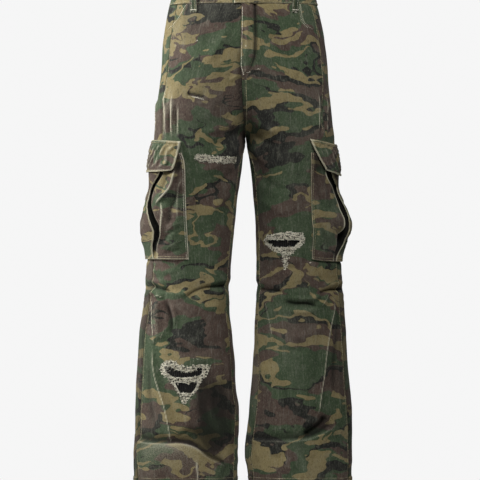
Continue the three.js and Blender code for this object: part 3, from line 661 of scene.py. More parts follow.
def shell_polys(R, C, keep=None, coarse=True, flip=False, wrap=False):
    """Polygons of a closed shell over an R x C grid of points: outer points first, inner points after
    them. Where the inner side is plain it has one polygon for each four cells."""
    if keep is None:
        keep = np.ones((R - 1, C - 1), bool)
    idx = np.arange(R * C).reshape(R, C)
    off = R * C
    out = []
    a, b, c, d = idx[:-1, :-1][keep], idx[:-1, 1:][keep], idx[1:, 1:][keep], idx[1:, :-1][keep]
    out.append(np.stack([a, b, c, d], 1))
    if coarse and (R - 1) % 2 == 0 and (C - 1) % 2 == 0:
        blk = keep.reshape((R - 1) // 2, 2, (C - 1) // 2, 2).all(axis=(1, 3))
        fine = keep & ~np.repeat(np.repeat(blk, 2, 0), 2, 1)
        nb = np.pad(blk, 1)
        s = {"b": nb[:-2, 1:-1], "r": nb[1:-1, 2:], "t": nb[2:, 1:-1], "l": nb[1:-1, :-2]}
        I, J = np.meshgrid(np.arange(blk.shape[0]) * 2, np.arange(blk.shape[1]) * 2, indexing="ij")
        for code in range(16):
            m = blk.copy()
            for bit, k in enumerate("brtl"):
                m &= (s[k] if (code >> bit) & 1 else ~s[k])
            if not m.any():
                continue
            i, j = I[m], J[m]
            ring = [idx[i, j]]
            if not code & 1: ring.append(idx[i, j + 1])
            ring.append(idx[i, j + 2])
            if not code & 2: ring.append(idx[i + 1, j + 2])
            ring.append(idx[i + 2, j + 2])
            if not code & 4: ring.append(idx[i + 2, j + 1])
            ring.append(idx[i + 2, j])
            if not code & 8: ring.append(idx[i + 1, j])
            out.append(np.stack(ring[::-1], 1) + off)
    else:
        fine = keep
    if fine.any():
        a, b, c, d = idx[:-1, :-1][fine], idx[:-1, 1:][fine], idx[1:, 1:][fine], idx[1:, :-1][fine]
        out.append(np.stack([d, c, b, a], 1) + off)
    # rims, wherever a kept cell has no neighbour
    k = np.pad(keep, 1)
    sides = [(k[:-2, 1:-1], idx[:-1, :-1], idx[:-1, 1:]), (k[1:-1, 2:], idx[:-1, 1:], idx[1:, 1:]),
             (k[2:, 1:-1], idx[1:, 1:], idx[1:, :-1]), (k[1:-1, :-2], idx[1:, :-1], idx[:-1, :-1])]
    for nbk, p, q in sides:
        m = keep & ~nbk
        if m.any():
            out.append(np.stack([q[m], p[m], p[m] + off, q[m] + off], 1))
    if flip:
        out = [p[:, ::-1] for p in out]
    return out


def facing(P, N):
    """True where the grid's own winding faces away from N."""
    e1 = P[:-1, 1:] - P[:-1, :-1]
    e2 = P[1:, :-1] - P[:-1, :-1]
    return float((np.cross(e1, e2) * N[:-1, :-1]).sum()) < 0


# ------------------------------------------------------------------ where the pieces lie on the legs
POCKET_TOP, POCKET_BOTTOM, POCKET_WIDTH, POCKET_FRONT = -336.0, -567.0, 205.0, 126.0
FLAP_TOP, FLAP_BOTTOM = -308.0, -380.0


def q_front_seam(side, z):
    L = LEGS[side]
    return L.q(L.find(L.sign * POCKET_FRONT, z), z)


def pocket_cover(side, q, z):
    """1 under the cargo pocket and its flap, 0 clear of them."""
    zz = np.clip(z, POCKET_BOTTOM, FLAP_TOP)
    qf = q_front_seam(side, zz)
    a = smooth(-2, 5, qf - q) * smooth(-2, 5, q - (qf - POCKET_WIDTH))
    return a * smooth(POCKET_BOTTOM - 6, POCKET_BOTTOM + 1, z) * smooth(FLAP_TOP + 5, FLAP_TOP - 2, z)


def fly_lap(z):
    """How far the right front laps over the left one at the fly, millimetres."""
    return 5.4 * smooth(-176, -150, z)


def fell_lap(z):
    """The same at the felled seams of the rise, front and back."""
    return 2.4 * smooth(-301, -290, z)


def edges_q(side, z):
    fo, ff, fb, _ = panel_edges(side, z)
    L = LEGS[side]
    T = L.total(z)
    return fo * T, ff * T, (fb - 1) * T


def hip_opening(side):
    """The slanted edge of the front pocket opening, as a line in (q, z)."""
    if side == "left":
        pts = [(188.6, -1), (187, 2), (183.6, 7), (180.2, 13), (176, 19.6), (170, 25.4), (163, 31.5)]
    else:
        pts = [(299.6, 0), (299.8, 3), (300.4, 9), (301.2, 15), (303.4, 21.5), (308.6, 26.6), (317.5, 31.2)]
    L = LEGS[side]
    p = np.array(pts, float)
    z = cz(p[:, 1])
    return resampled(np.stack([L.q(L.find(cx(p[:, 0]), z), z), z], 1), 5.0)


OPENING = {s: hip_opening(s) for s in LEGS}


def skin(side, q, z, part):
    """How far the cloth stands out from the plain section, and how rubbed it is, with a painted highlight over the
    gathers of the left thigh.
    """
    q, z = np.broadcast_arrays(np.asarray(q, float), np.asarray(z, float))
    D, wear_and_highlight = fold_field(side, q, z)
    D = D * 1.3
    qo, qf, qb = edges_q(side, z)
    inner = (qf - q) if part == "front" else (q - qb)
    D = D * smooth(0, 12, inner)
    D = D + cloth_noise(side, q, z) * smooth(0, 10, inner)
    # seams: a shallow groove with a ridge on each side, puckered by the stitching
    s = q - qo
    phase = noise(z / 40, s * 0 + 3.3, 5) * 2.2
    pk = np.sin(2 * math.pi * z / 12.5 + phase)
    D = D + 0.95 * np.exp(-((s - 4.5) / 4.2) ** 2) - 1.1 * np.exp(-(s / 1.5) ** 2) + 0.3 * np.exp(-((s + 5) / 5) ** 2)
    D = D + 0.42 * pk * np.exp(-((s - 2) / 8) ** 2)
    wear_and_highlight = wear_and_highlight + 0.55 * np.exp(-((s - 3.4) / 2.6) ** 2) * (0.65 + 0.5 * noise(z / 9, s / 9, 6))
    # the rises are felled, the right side over the left; the inseams are plain
    above = smooth(CROTCH_Z - 14, CROTCH_Z + 4, z)
    lap = fell_lap(z)
    plain = 0.8 * np.exp(-((inner - 4.5) / 4.0) ** 2) - 0.8 * np.exp(-(inner / 1.5) ** 2)
    over = 2.3 * smooth(11.5, 8.5, inner) if side == "right" else -0.9 * np.exp(-((inner - 4.0) / 3.0) ** 2)
    D = D + mix(plain, over * smooth(CROTCH_Z, CROTCH_Z + 16, z), above)
    D = D + 0.35 * np.sin(2 * math.pi * z / 13 + phase * 1.4) * np.exp(-(inner / 7) ** 2) * smooth(0, 3, inner)
    wear_and_highlight = wear_and_highlight + 0.40 * np.exp(-((inner - 4) / 2.6) ** 2) * (0.6 + 0.5 * noise(z / 9, s / 50, 7))
    # hem: turned up twice, roped by its stitching
    h = z - HEM_Z
    rope = np.sin(2 * math.pi * (q * 0.9 + h * 0.9) / 21 + 1.6 * noise(q / 60, h / 60, 8))
    D = D + (0.9 + 0.7 * rope) * smooth(27, 21, h) - 1.3 * np.exp(-(h / 1.6) ** 2)
    wear_and_highlight = wear_and_highlight + 0.5 * np.exp(-(h / 3.2) ** 2) + 0.25 * smooth(27, 21, h) * np.clip(rope, 0, 1)
    # the band's seam draws the top in
    up = smooth(-30, -20.5, z)
    D = D - 0.5 * up + 0.3 * up * np.sin(2 * math.pi * q / 11)
    if part == "front":
        # front pocket opening: the cloth inside the slant lies lower
        d, sd, t = along(OPENING[side], q.ravel(), z.ravel())
        d, sd = d.reshape(q.shape), sd.reshape(q.shape)
        hand = -1.0 if side == "right" else 1.0
        # signed towards the fly
        low = z > -85
        s2 = -sd * hand
        near = smooth(-78, -70, z) + smooth(-70, -60, z)
        fold = np.clip(near, 0, 1)
        D = D + fold * (1.5 * smooth(-1.2, 1.2, s2) * np.exp(-np.clip(s2, 0, None) / 16)
                        - 0.8 * np.exp(-((s2 + 1.8) / 2.2) ** 2))
        wear_and_highlight = wear_and_highlight + fold * 0.9 * np.exp(-((s2 - 1.0) / 1.5) ** 2)
        # fly
        k = smooth(-176, -150, z)
        if side == "right":
            e = inner + fly_lap(z)
            wear_and_highlight = wear_and_highlight + k * 0.42 * np.exp(-((e - 0.6) / 1.2) ** 2) * (0.6 + 0.5 * smooth(-96, -60, z))
            # the facing lifts the cloth as far as the J stitching, and it drops there
            j, sj = jline_distance(q, z)
            inward = smooth(-1.6, 1.6, sj)
            lift = 2.9 * (0.65 + 0.45 * noise(z / 17, z * 0, 21))
            D = D + lift * inward * smooth(30, 14, j) - 4.0 * np.exp(-((sj + 2.8) / 3.2) ** 2) * smooth(-170, -130, z)
            D = D + 1.6 * np.exp(-((sj + 10) / 5.0) ** 2) * smooth(-170, -130, z)
            D = D + 0.55 * np.sin(2 * math.pi * z / 15 + 2.5 * noise(z / 30, z * 0, 22)) * np.exp(-((j) / 5.0) ** 2)
            wear_and_highlight = wear_and_highlight + 0.16 * np.exp(-((sj - 2.6) / 1.8) ** 2)
        else:
            D = D - k * 0.6 * smooth(12, 5, inner)
    if part == "front" and side == "left":
        # paler over the gathers above the flap: faded cloth and a painted highlight where the light grazes them
        x = L_x(side, q, z)
        wear_and_highlight = wear_and_highlight + 0.42 * smooth(184, 174, x) * smooth(cz(142), cz(132), z) * smooth(cz(72), cz(92), z) * (0.75 + 0.5 * noise(q / 6, z / 40, 33))
    c = pocket_cover(side, q, z)
    D = np.where(D > 0, D * (1 - 0.96 * c), D * (1 - 0.5 * c)) - 0.4 * c
    return D, np.clip(wear_and_highlight, 0, 1.6)


def jline():
    """The curved stitching beside the fly, on the right front."""
    p = np.array([(253.6, 3.5), (253.7, 10), (253.9, 24), (254.1, 40), (253.4, 54), (251.0, 64), (247.6, 71), (243.6, 76)])
    L = LEGS["right"]
    z = cz(p[:, 1])
    return resampled(np.stack([L.q(L.find(cx(p[:, 0]), z), z), z], 1), 4.0)


JLINE = jline()


def jline_distance(q, z):
    """Distance from the J stitching, and the same signed, positive towards the fly."""
    d, sd, _ = along(JLINE, q.ravel(), z.ravel())
    return d.reshape(q.shape), -sd.reshape(q.shape)


def on_leg(side, q, z, lift):
    L = LEGS[side]
    P, N = L.at(np.asarray(q, float) / L.total(z), z)
    return P + N * np.asarray(lift)[..., None], N


# ------------------------------------------------------------------ tears
# Outlines in millimetres on the front, x and z.
HOLES = {
    "knee": ("right", [(49, -520), (68, -521), (89, -520), (94, -523), (100, -521), (119, -520), (120, -525), (107, -535), (93, -537), (66, -537), (55, -531), (48, -526)]),
    "shin_upper": ("left", [(-171, -788), (-158, -789), (-141, -798), (-124, -801), (-105, -798), (-100, -793), (-87, -793), (-88, -806), (-96, -811), (-118, -814), (-140, -815), (-153, -813), (-159, -806), (-168, -803)]),
    "shin_lower": ("left", [(-148, -823), (-122, -826), (-118, -829), (-115, -825), (-97, -820), (-99, -829), (-105, -838), (-110, -847), (-135, -847), (-142, -837)]),
}


def outline(side, pts, seed, ragged=0.9, step=1.6):
    L = LEGS[side]
    p = np.array(pts, float)
    q = L.q(L.find(p[:, 0], p[:, 1]), p[:, 1])
    loop = np.stack([q, p[:, 1]], 1)
    loop = np.concatenate([loop, loop[:1]])
    seg = np.hypot(*np.diff(loop, axis=0).T)
    s = np.concatenate([[0], np.cumsum(seg)])
    u = np.arange(0, s[-1], step)
    # rounded by averaging with the neighbours
    x, y = np.interp(u, s, loop[:, 0]), np.interp(u, s, loop[:, 1])
    for _ in range(2):
        x = (np.roll(x, 1) + 2 * x + np.roll(x, -1)) / 4
        y = (np.roll(y, 1) + 2 * y + np.roll(y, -1)) / 4
    x = x + ragged * noise(u / 3.1, u * 0, seed)
    y = y + ragged * 1.5 * noise(u / 2.3, u * 0, seed + 1)
    return np.stack([x, y], 1)


OUTLINES = {k: (v[0], outline(v[0], v[1], 40 + i * 7)) for i, (k, v) in enumerate(HOLES.items())}


def inside(poly, x, y):
    res = np.zeros(x.shape, bool)
    x0, y0 = poly[:, 0], poly[:, 1]
    x1, y1 = np.roll(x0, -1), np.roll(y0, -1)
    for a, b, c, d in zip(x0, y0, x1, y1):
        m = (b > y) != (d > y)
        if abs(d - b) > 1e-9:
            res ^= m & (x < (c - a) * (y - b) / (d - b) + a)
    return res


def nearest_on(poly, x, y):
    """Distance to a closed outline and the nearest point of it."""
    bd = np.full(x.shape, 1e9)
    bx, by = x.copy(), y.copy()
    P, Q = poly, np.roll(poly, -1, axis=0)
    for (a, b), (c, d) in zip(P, Q):
        ux, uy = c - a, d - b
        t = np.clip(((x - a) * ux + (y - b) * uy) / (ux * ux + uy * uy + 1e-9), 0, 1)
        px, py = a + t * ux, b + t * uy
        e = np.hypot(x - px, y - py)
        m = e < bd
        bd, bx, by = np.where(m, e, bd), np.where(m, px, bx), np.where(m, py, by)
    return bd, bx, by


# pale patches where the print is worn off and the weft shows, outlines in chart units, and how strong
RUBS = {
    "left": [
        ([(196.5, 153.8), (204, 154.6), (212, 155.2), (216, 156.2), (224, 156.0), (231, 156.2), (236.6, 156.8), (236.4, 160), (235.8, 163), (226, 162.6), (218, 163.0), (209, 162.2), (200, 161.4), (195.6, 160.0), (193.8, 158.2)], 1.0),
        ([(160.2, 367), (163, 362.4), (167, 360.6), (175, 361.6), (179, 365.4), (186, 367.6), (192, 366.4), (201, 365.0), (210, 365.6), (210, 369.4), (207, 376), (202.6, 380.6), (199, 385), (197, 390), (192.6, 395.4), (188, 400.4), (184, 406.5), (181, 400.6), (178, 394.2), (174.4, 386.6), (170.4, 383.2), (167.4, 379.4), (162.4, 375.6), (159.4, 370.6)], 1.0),
    ],
    "right": [
        ([(263.4, 241), (266.4, 236.6), (272, 234.6), (279.6, 233.4), (280.4, 232.2), (292, 232.2), (302.8, 233.0), (303.4, 237.2), (303.6, 243.4), (299.4, 247.2), (294.6, 250.4), (293.4, 253.2), (288.4, 255.6), (287.6, 259.6), (286.4, 268.5), (284.2, 268.5), (284, 260), (282, 254.8), (277.6, 252.4), (272.4, 251), (268.6, 246.6), (265.2, 244.2)], 1.0),
    ],
}
# fainter scuffs: centre, half width, half height, strength
SCUFFS = {
    "left": [((175, 45), 1.4, 1.4, 0.5), ((197, 41), 2.4, 1.0, 0.5), ((199, 359), 12, 4.5, 0.25), ((181, 300), 4, 2, 0.25),
             ((188, 96.4), 2.4, 0.8, 0.4)],
    "right": [((259, 69.5), 3.5, 1.2, 0.4), ((245.8, 46.2), 1.0, 1.0, 0.8), ((309.6, 263), 3.0, 0.9, 0.6), ((297.6, 255), 3.0, 2.0, 0.35), ((248.5, 72.4), 4.0, 1.2, 0.6)],
}


def rubbed(side, q, z, part):
    """0 where the print is whole, 1 where only pale weft is left."""
    if part != "front":
        return np.zeros(np.broadcast(q, z).shape)
    q, z = np.broadcast_arrays(np.asarray(q, float), np.asarray(z, float))
    L = LEGS[side]
    out = np.zeros(q.shape)
    rag = 2.4 * noise(q / 3.0, z / 2.6, 51) + 1.8 * noise(q / 7, z / 6, 52)
    for pts, k in RUBS[side]:
        p = np.array(pts, float)
        zz = cz(p[:, 1])
        poly = np.stack([L.q(L.find(cx(p[:, 0]), zz), zz), zz], 1)
        lo, hi = poly.min(0) - 8, poly.max(0) + 8
        m = (q > lo[0]) & (q < hi[0]) & (z > lo[1]) & (z < hi[1])
        if not m.any():
            continue
        d, _, _ = nearest_on(poly, q[m], z[m])
        d = np.where(inside(poly, q[m], z[m]), -d, d)
        out[m] = np.maximum(out[m], k * smooth(3.2, -2.2, d + rag[m]))
    for (x, y), w, h, k in SCUFFS[side]:
        zc = cz(y)
        qc = float(L.q(L.find(cx(x), zc), zc))
        r = np.sqrt(((q - qc) / (w * UNIT)) ** 2 + ((z - zc) / (h * UNIT)) ** 2)
        out = np.maximum(out, k * smooth(1.1, 0.6, r + 0.25 * noise(q / 3, z / 2, 54)))
    return out


# ------------------------------------------------------------------ the four leg panels
WALL = 1.6
CUT_SHIFT = {("left", "front"): (0.0, 0.0), ("right", "front"): (1.31, 0.47),
             ("left", "back"): (2.77, 1.13), ("right", "back"): (3.91, 2.03)}


def cut_uv(side, part, q, z):
    ox, oy = CUT_SHIFT[(side, part)]
    k = -1.0 if side == "left" else 1.0
    return np.stack([k * q * MM + ox, z * MM + oy], -1)


def leg_panel(side, part, cell):
    L = LEGS[side]
    top = -20.35
    R = int(round((top - HEM_Z) / cell / 2)) * 2 + 1
    zr = np.linspace(HEM_Z, top, R)
    qo, qf, qb = edges_q(side, zr)
    fell = fell_lap(zr) if side == "right" else 0.0
    if part == "front":
        a, b = qo + 0.15, qf + fell
        if side == "right":
            lap = fly_lap(zr)
            i, t = L.row(zr)
            mid = mix(L.mid[i], L.mid[i + 1], t)
            q2 = L.q(L.find(mid - lap, zr), zr)
            b = np.maximum(b, np.where(zr > -180, q2, b))
    else:
        a, b = qb - fell, qo - 0.15
    C = int(round(np.percentile(b - a, 92) / cell / 2)) * 2 + 1
    u = np.linspace(0, 1, C)
    q = a[:, None] + (b - a)[:, None] * u[None, :]
    z = np.repeat(zr[:, None], C, 1)
    keep = np.ones((R - 1, C - 1), bool)
    if part == "front":
        for name, (s, poly) in OUTLINES.items():
            if s != side:
                continue
            lo, hi = poly.min(0) - 8, poly.max(0) + 8
            m = (q > lo[0]) & (q < hi[0]) & (z > lo[1]) & (z < hi[1])
            d, px, py = nearest_on(poly, q[m], z[m])
            near = d < cell * 0.62
            qm, zm = q[m], z[m]
            qm[near], zm[near] = px[near], py[near]
            q[m], z[m] = qm, zm
            qc = (q[:-1, :-1] + q[1:, :-1] + q[:-1, 1:] + q[1:, 1:]) / 4
            zc = (z[:-1, :-1] + z[1:, :-1] + z[:-1, 1:] + z[1:, 1:]) / 4
            keep &= ~inside(poly, qc, zc)
    D, wear_and_highlight = skin(side, q, z, part)
    rub = rubbed(side, q, z, part)
    # ridges fade; hollows are darkened as painted shade
    wear_and_highlight = wear_and_highlight + 0.13 * smooth(2.5, 11.0, D)
    if side == "left" and part == "front":
        # painted highlight on the cloth that rests on the foot
        x = L_x(side, q, z)
        wear_and_highlight = wear_and_highlight + 0.34 * smooth(138, 148, x) * smooth(212, 184, x) * smooth(cz(443), cz(448), z) * smooth(cz(484), cz(466), z)
    # painted shade in the hollows
    hollow_shade = 0.50 * smooth(-1.2, -8.0, D)
    D = D - 0.5 * rub + 0.35 * rub * noise(q / 2.4, z / 1.7, 61)
    qm = q
    P, N = on_leg(side, qm, z, D)
    Pin, _ = on_leg(side, qm, z, min_around(D, 2) - WALL)
    flip = facing(P, N)
    co = np.concatenate([P.reshape(-1, 3), Pin.reshape(-1, 3)])
    uv = cut_uv(side, part, q, z).reshape(-1, 2)
    uv = np.concatenate([uv, uv])
    n = R * C
    att = {"wear_and_highlight": np.concatenate([wear_and_highlight.ravel(), np.zeros(n)]), "rub": np.concatenate([rub.ravel(), rub.ravel() * 0]),
           "inside": np.concatenate([np.zeros(n), np.ones(n)]),
           "shade_and_soil": np.concatenate([np.clip(painted_shade_field(side, q, z, part) + hollow_shade, 0, 1.05).ravel(), np.zeros(n)])}
    ob = make_mesh(f"{part}_{side}_cloth", co, shell_polys(R, C, keep, flip=flip), uv, att)
    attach(ob, "root")
    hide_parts(f"{part}_{side}")
    return ob


# ------------------------------------------------------------------ materials
def srgb(r, g, b):
    def f(c):
        c = c / 255.0
        return c / 12.92 if c <= 0.04045 else ((c + 0.055) / 1.055) ** 2.4
    return (f(r), f(g), f(b), 1.0)


GREEN, BROWN, TAN, BLACK = (60, 75, 53), (77, 63, 56), (128, 116, 81), (30, 31, 29)


class Nodes:
    def __init__(self, name):
        self.m = bpy.data.materials.new(name)
        self.m.use_nodes = True
        self.t = self.m.node_tree
        self.t.nodes.clear()
        self.out = self.t.nodes.new("ShaderNodeOutputMaterial")
        self.bsdf = self.t.nodes.new("ShaderNodeBsdfPrincipled")
        self.t.links.new(self.bsdf.outputs[0], self.out.inputs[0])

    def n(self, kind, **props):
        node = self.t.nodes.new(kind)
        for k, v in props.items():
            setattr(node, k, v)
        return node

    def link(self, a, b):
        self.t.links.new(a, b)

    def put(self, sock, v):
        if hasattr(v, "links") or isinstance(v, bpy.types.NodeSocket):
            self.link(v, sock)
        else:
            sock.default_value = v

    def math(self, op, a, b=0.0, c=None, clamp=False):
        node = self.n("ShaderNodeMath", operation=op, use_clamp=clamp)
        self.put(node.inputs[0], a)
        self.put(node.inputs[1], b)
        if c is not None:
            self.put(node.inputs[2], c)
        return node.outputs[0]

    def vmath(self, op, a, b=None, scale=None):
        node = self.n("ShaderNodeVectorMath", operation=op)
        self.put(node.inputs[0], a)
        if b is not None:
            self.put(node.inputs[1], b)
        if scale is not None:
            self.put(node.inputs[3], scale)
        return node.outputs[0]

    def mixc(self, fac, a, b, blend="MIX"):
        node = self.n("ShaderNodeMix", data_type="RGBA", blend_type=blend, clamp_factor=True)
        self.put(node.inputs[0], fac)
        self.put(node.inputs[6], a)
        self.put(node.inputs[7], b)
        return node.outputs[2]

    def ramp(self, fac, lo, hi):
        """0 below lo, 1 above hi, smoothly."""
        node = self.n("ShaderNodeMapRange", interpolation_type="SMOOTHSTEP")
        self.put(node.inputs[0], fac)
        node.inputs[1].default_value, node.inputs[2].default_value = lo, hi
        return node.outputs[0]

    def noise(self, vec, scale, detail=0.0, rough=0.5, dist=0.0, lac=2.0):
        node = self.n("ShaderNodeTexNoise", noise_dimensions="3D")
        self.put(node.inputs["Vector"], vec)
        node.inputs["Scale"].default_value = scale
        node.inputs["Detail"].default_value = detail
        node.inputs["Roughness"].default_value = rough
        node.inputs["Lacunarity"].default_value = lac
        node.inputs["Distortion"].default_value = dist
        return node

    def mapping(self, vec, scale=(1, 1, 1), loc=(0, 0, 0), rot=(0, 0, 0)):
        node = self.n("ShaderNodeMapping")
        self.put(node.inputs[0], vec)
        node.inputs[1].default_value = loc
        node.inputs[2].default_value = rot
        node.inputs[3].default_value = scale
        return node.outputs[0]

    def attr(self, name):
        return self.n("ShaderNodeAttribute", attribute_name=name).outputs["Fac"]


def camo_cloth(name):
    """Faded camouflage twill: four colours in lobed drawn-out shapes, laid out along the cut."""
    g = Nodes(name)
    uv = g.n("ShaderNodeUVMap", uv_map="Cut").outputs[0]
    # shapes are drawn out sideways and their edges break into fingers
    half = (0.5, 0.5, 0.5)
    warp1 = g.noise(g.mapping(uv, (9, 13, 1), (3.1, 7.7, 0.3)), 1.0, 0.0).outputs["Color"]
    warp2 = g.noise(g.mapping(uv, (34, 62, 1), (9.1, 1.7, 0.8)), 1.0, 0.0).outputs["Color"]
    warp3 = g.noise(g.mapping(uv, (90, 120, 1), (2.1, 8.7, 0.8)), 1.0, 0.0).outputs["Color"]
    w1 = g.vmath("MULTIPLY", g.vmath("SUBTRACT", warp1, half), (0.17, 0.110, 0.0))
    w2 = g.vmath("MULTIPLY", g.vmath("SUBTRACT", warp2, half), (0.085, 0.020, 0.0))
    w3 = g.vmath("MULTIPLY", g.vmath("SUBTRACT", warp3, half), (0.010, 0.006, 0.0))
    p = g.vmath("ADD", g.vmath("ADD", uv, w1), g.vmath("ADD", w2, w3))

    def layer(scale, loc, rot=0.0, detail=0.0):
        return g.noise(g.mapping(p, (scale[0], scale[1], 1), (loc[0], loc[1], loc[2]), (0, 0, rot)), 1.0, detail).outputs["Fac"]
    e = 0.007
    brown = layer((7.2, 15.0), (2.3, 4.1, 5.0), 0.14)
    tan = layer((10.5, 33.0), (12.9, 3.3, 1.5), -0.16)
    tan2 = layer((12.5, 40.0), (5.5, 13.3, 2.5), 0.30)
    blk = layer((8.0, 19.0), (8.4, 17.9, 3.5), 0.05)
    blk2 = layer((9.0, 17.0), (1.4, 27.9, 4.5), -0.2)
    f_brown = g.ramp(brown, 0.508 - e, 0.508 + e)
    # tan runs in flames: along the middle of one field, as wide as another allows
    flame = g.math("ABSOLUTE", g.math("SUBTRACT", layer((8.0, 21.0), (3.7, 9.4, 6.5), -0.10), 0.5))
    girth = g.math("SUBTRACT", g.math("MULTIPLY", g.ramp(layer((10.0, 15.0), (7.1, 2.6, 8.5), 0.2), 0.588, 0.604), 0.068), 0.018)
    f_flame = g.ramp(g.math("SUBTRACT", flame, girth), 0.004, -0.004)
    f_tan = g.math("MAXIMUM", g.ramp(tan, 0.704 - e, 0.704 + e), g.ramp(tan2, 0.704 - e, 0.704 + e))
    f_tan = g.math("MAXIMUM", f_tan, f_flame)
    rid = g.math("ABSOLUTE", g.math("SUBTRACT", blk, 0.48))
    wid = g.math("MULTIPLY", g.ramp(blk2, 0.44, 0.66), 0.062)
    f_blk = g.ramp(g.math("SUBTRACT", rid, wid), 0.004, -0.004)
    green_c, brown_c = srgb(*GREEN), srgb(*BROWN)
    tan_c, blk_c = srgb(*TAN), srgb(*BLACK)
    col = g.mixc(f_brown, green_c, brown_c)
    col = g.mixc(f_blk, col, blk_c)
    col = g.mixc(f_tan, col, tan_c)
    # the print is uneven: washed out in blotches and drawn along the warp
    blotch = g.noise(g.mapping(uv, (10, 6, 1), (4, 4, 4)), 1.0, 3.0, 0.6).outputs["Fac"]
    mott = g.noise(g.mapping(uv, (60, 36, 1), (4, 9, 4)), 1.0, 3.0, 0.65).outputs["Fac"]
    col = g.mixc(g.math("MULTIPLY", g.ramp(blotch, 0.45, 0.78), 0.22), col, srgb(120, 120, 108))
    col = g.mixc(g.math("MULTIPLY", g.ramp(blotch, 0.50, 0.25), 0.30), col, srgb(36, 38, 32))
    col = g.mixc(g.math("MULTIPLY", g.ramp(mott, 0.50, 0.75), 0.20), col, srgb(132, 132, 118))
    col = g.mixc(g.math("MULTIPLY", g.ramp(mott, 0.48, 0.28), 0.26), col, srgb(34, 34, 29))
    slub = g.noise(g.mapping(uv, (800, 70, 1), (0, 0, 0)), 1.0, 2.0, 0.7).outputs["Fac"]
    slub2 = g.noise(g.mapping(uv, (240, 26, 1), (5, 5, 0)), 1.0, 1.0, 0.6).outputs["Fac"]
    grain = g.noise(g.mapping(uv, (560, 640, 1), (1, 2, 0)), 1.0, 2.0, 0.75).outputs["Fac"]
    mid = g.noise(g.mapping(uv, (300, 190, 1), (6, 6, 0)), 1.0, 1.0, 0.6).outputs["Fac"]
    col = g.mixc(g.math("MULTIPLY", g.ramp(mid, 0.50, 0.28), 0.30), col, srgb(26, 26, 21))
    col = g.mixc(g.math("MULTIPLY", g.ramp(mid, 0.54, 0.78), 0.16), col, srgb(150, 148, 130))
    col = g.mixc(g.math("MULTIPLY", g.ramp(slub, 0.54, 0.84), 0.27), col, srgb(166, 166, 150))
    col = g.mixc(g.math("MULTIPLY", g.ramp(slub2, 0.54, 0.80), 0.14), col, srgb(156, 156, 142))
    col = g.mixc(g.math("MULTIPLY", g.ramp(grain, 0.50, 0.26), 0.45), col, srgb(22, 22, 18))
    col = g.mixc(g.math("MULTIPLY", g.ramp(grain, 0.58, 0.80), 0.26), col, srgb(160, 160, 144))
    # painted shade in creases, hollows, seams and under the flaps, and the darker middles of the belt loops: the print
    # mixed towards near-black
    col = g.mixc(g.math("MULTIPLY", g.attr("shade_and_soil"), 0.78), col, srgb(16, 16, 13))
    # rubbed ridges and edges, with painted highlights on the left pocket, the left thigh's gathers, the step lips and
    # the hem
    wear_and_highlight = g.attr("wear_and_highlight")
    speck = g.noise(g.mapping(uv, (420, 420, 1), (7, 3, 0)), 1.0, 3.0, 0.7).outputs["Fac"]
    wf = g.ramp(g.math("ADD", wear_and_highlight, g.math("MULTIPLY", g.math("SUBTRACT", speck, 0.5), 1.1)), 0.20, 1.10)
    col = g.mixc(g.math("MULTIPLY", wf, 0.66), col, srgb(192, 188, 166))
    # worn through: pale weft threads over the dark ground
    rub = g.attr("rub")
    weft = g.noise(g.mapping(uv, (90, 420, 1), (3, 1, 0)), 1.0, 2.0, 0.65).outputs["Fac"]
    dots = g.noise(g.mapping(uv, (230, 250, 1), (13, 1, 0)), 1.0, 2.0, 0.75).outputs["Fac"]
    pale = g.mixc(g.ramp(g.math("ADD", g.math("MULTIPLY", weft, 0.40), g.math("MULTIPLY", dots, 0.60)), 0.47, 0.56), srgb(44, 42, 35), srgb(208, 204, 184))
    col = g.mixc(g.ramp(g.math("ADD", rub, g.math("MULTIPLY", g.math("SUBTRACT", dots, 0.5), 1.3)), 0.38, 0.62), col, pale)
    # the wrong side is unprinted
    wrong = g.mixc(g.ramp(grain, 0.35, 0.65), srgb(84, 82, 68), srgb(118, 115, 97))
    col = g.mixc(g.attr("inside"), col, wrong)
    g.link(col, g.bsdf.inputs["Base Color"])
    g.bsdf.inputs["Roughness"].default_value = 0.92
    g.bsdf.inputs["Specular IOR Level"].default_value = 0.16
    g.bsdf.inputs["Sheen Weight"].default_value = 0.03
    g.bsdf.inputs["Sheen Roughness"].default_value = 0.6
    # twill: fine ridges at an angle, with the slubs standing out
    sep = g.n("ShaderNodeSeparateXYZ")
    g.link(uv, sep.inputs[0])
    tw = g.math("SINE", g.math("MULTIPLY", g.math("ADD", sep.outputs[0], g.math("MULTIPLY", sep.outputs[1], 1.1)), 2 * math.pi / 0.0016))
    h = g.math("ADD", g.math("MULTIPLY", tw, 0.18), g.math("MULTIPLY", slub, 0.5))
    h = g.math("ADD", h, g.math("MULTIPLY", grain, 1.0))
    h = g.math("ADD", h, g.math("MULTIPLY", mott, 1.6))
    h = g.math("ADD", h, g.math("MULTIPLY", g.math("MULTIPLY", dots, rub), 2.2))
    bump = g.n("ShaderNodeBump")
    bump.inputs["Strength"].default_value = 0.7
    bump.inputs["Distance"].default_value = 0.0010
    g.link(h, bump.inputs["Height"])
    g.link(bump.outputs[0], g.bsdf.inputs["Normal"])
    return g.m


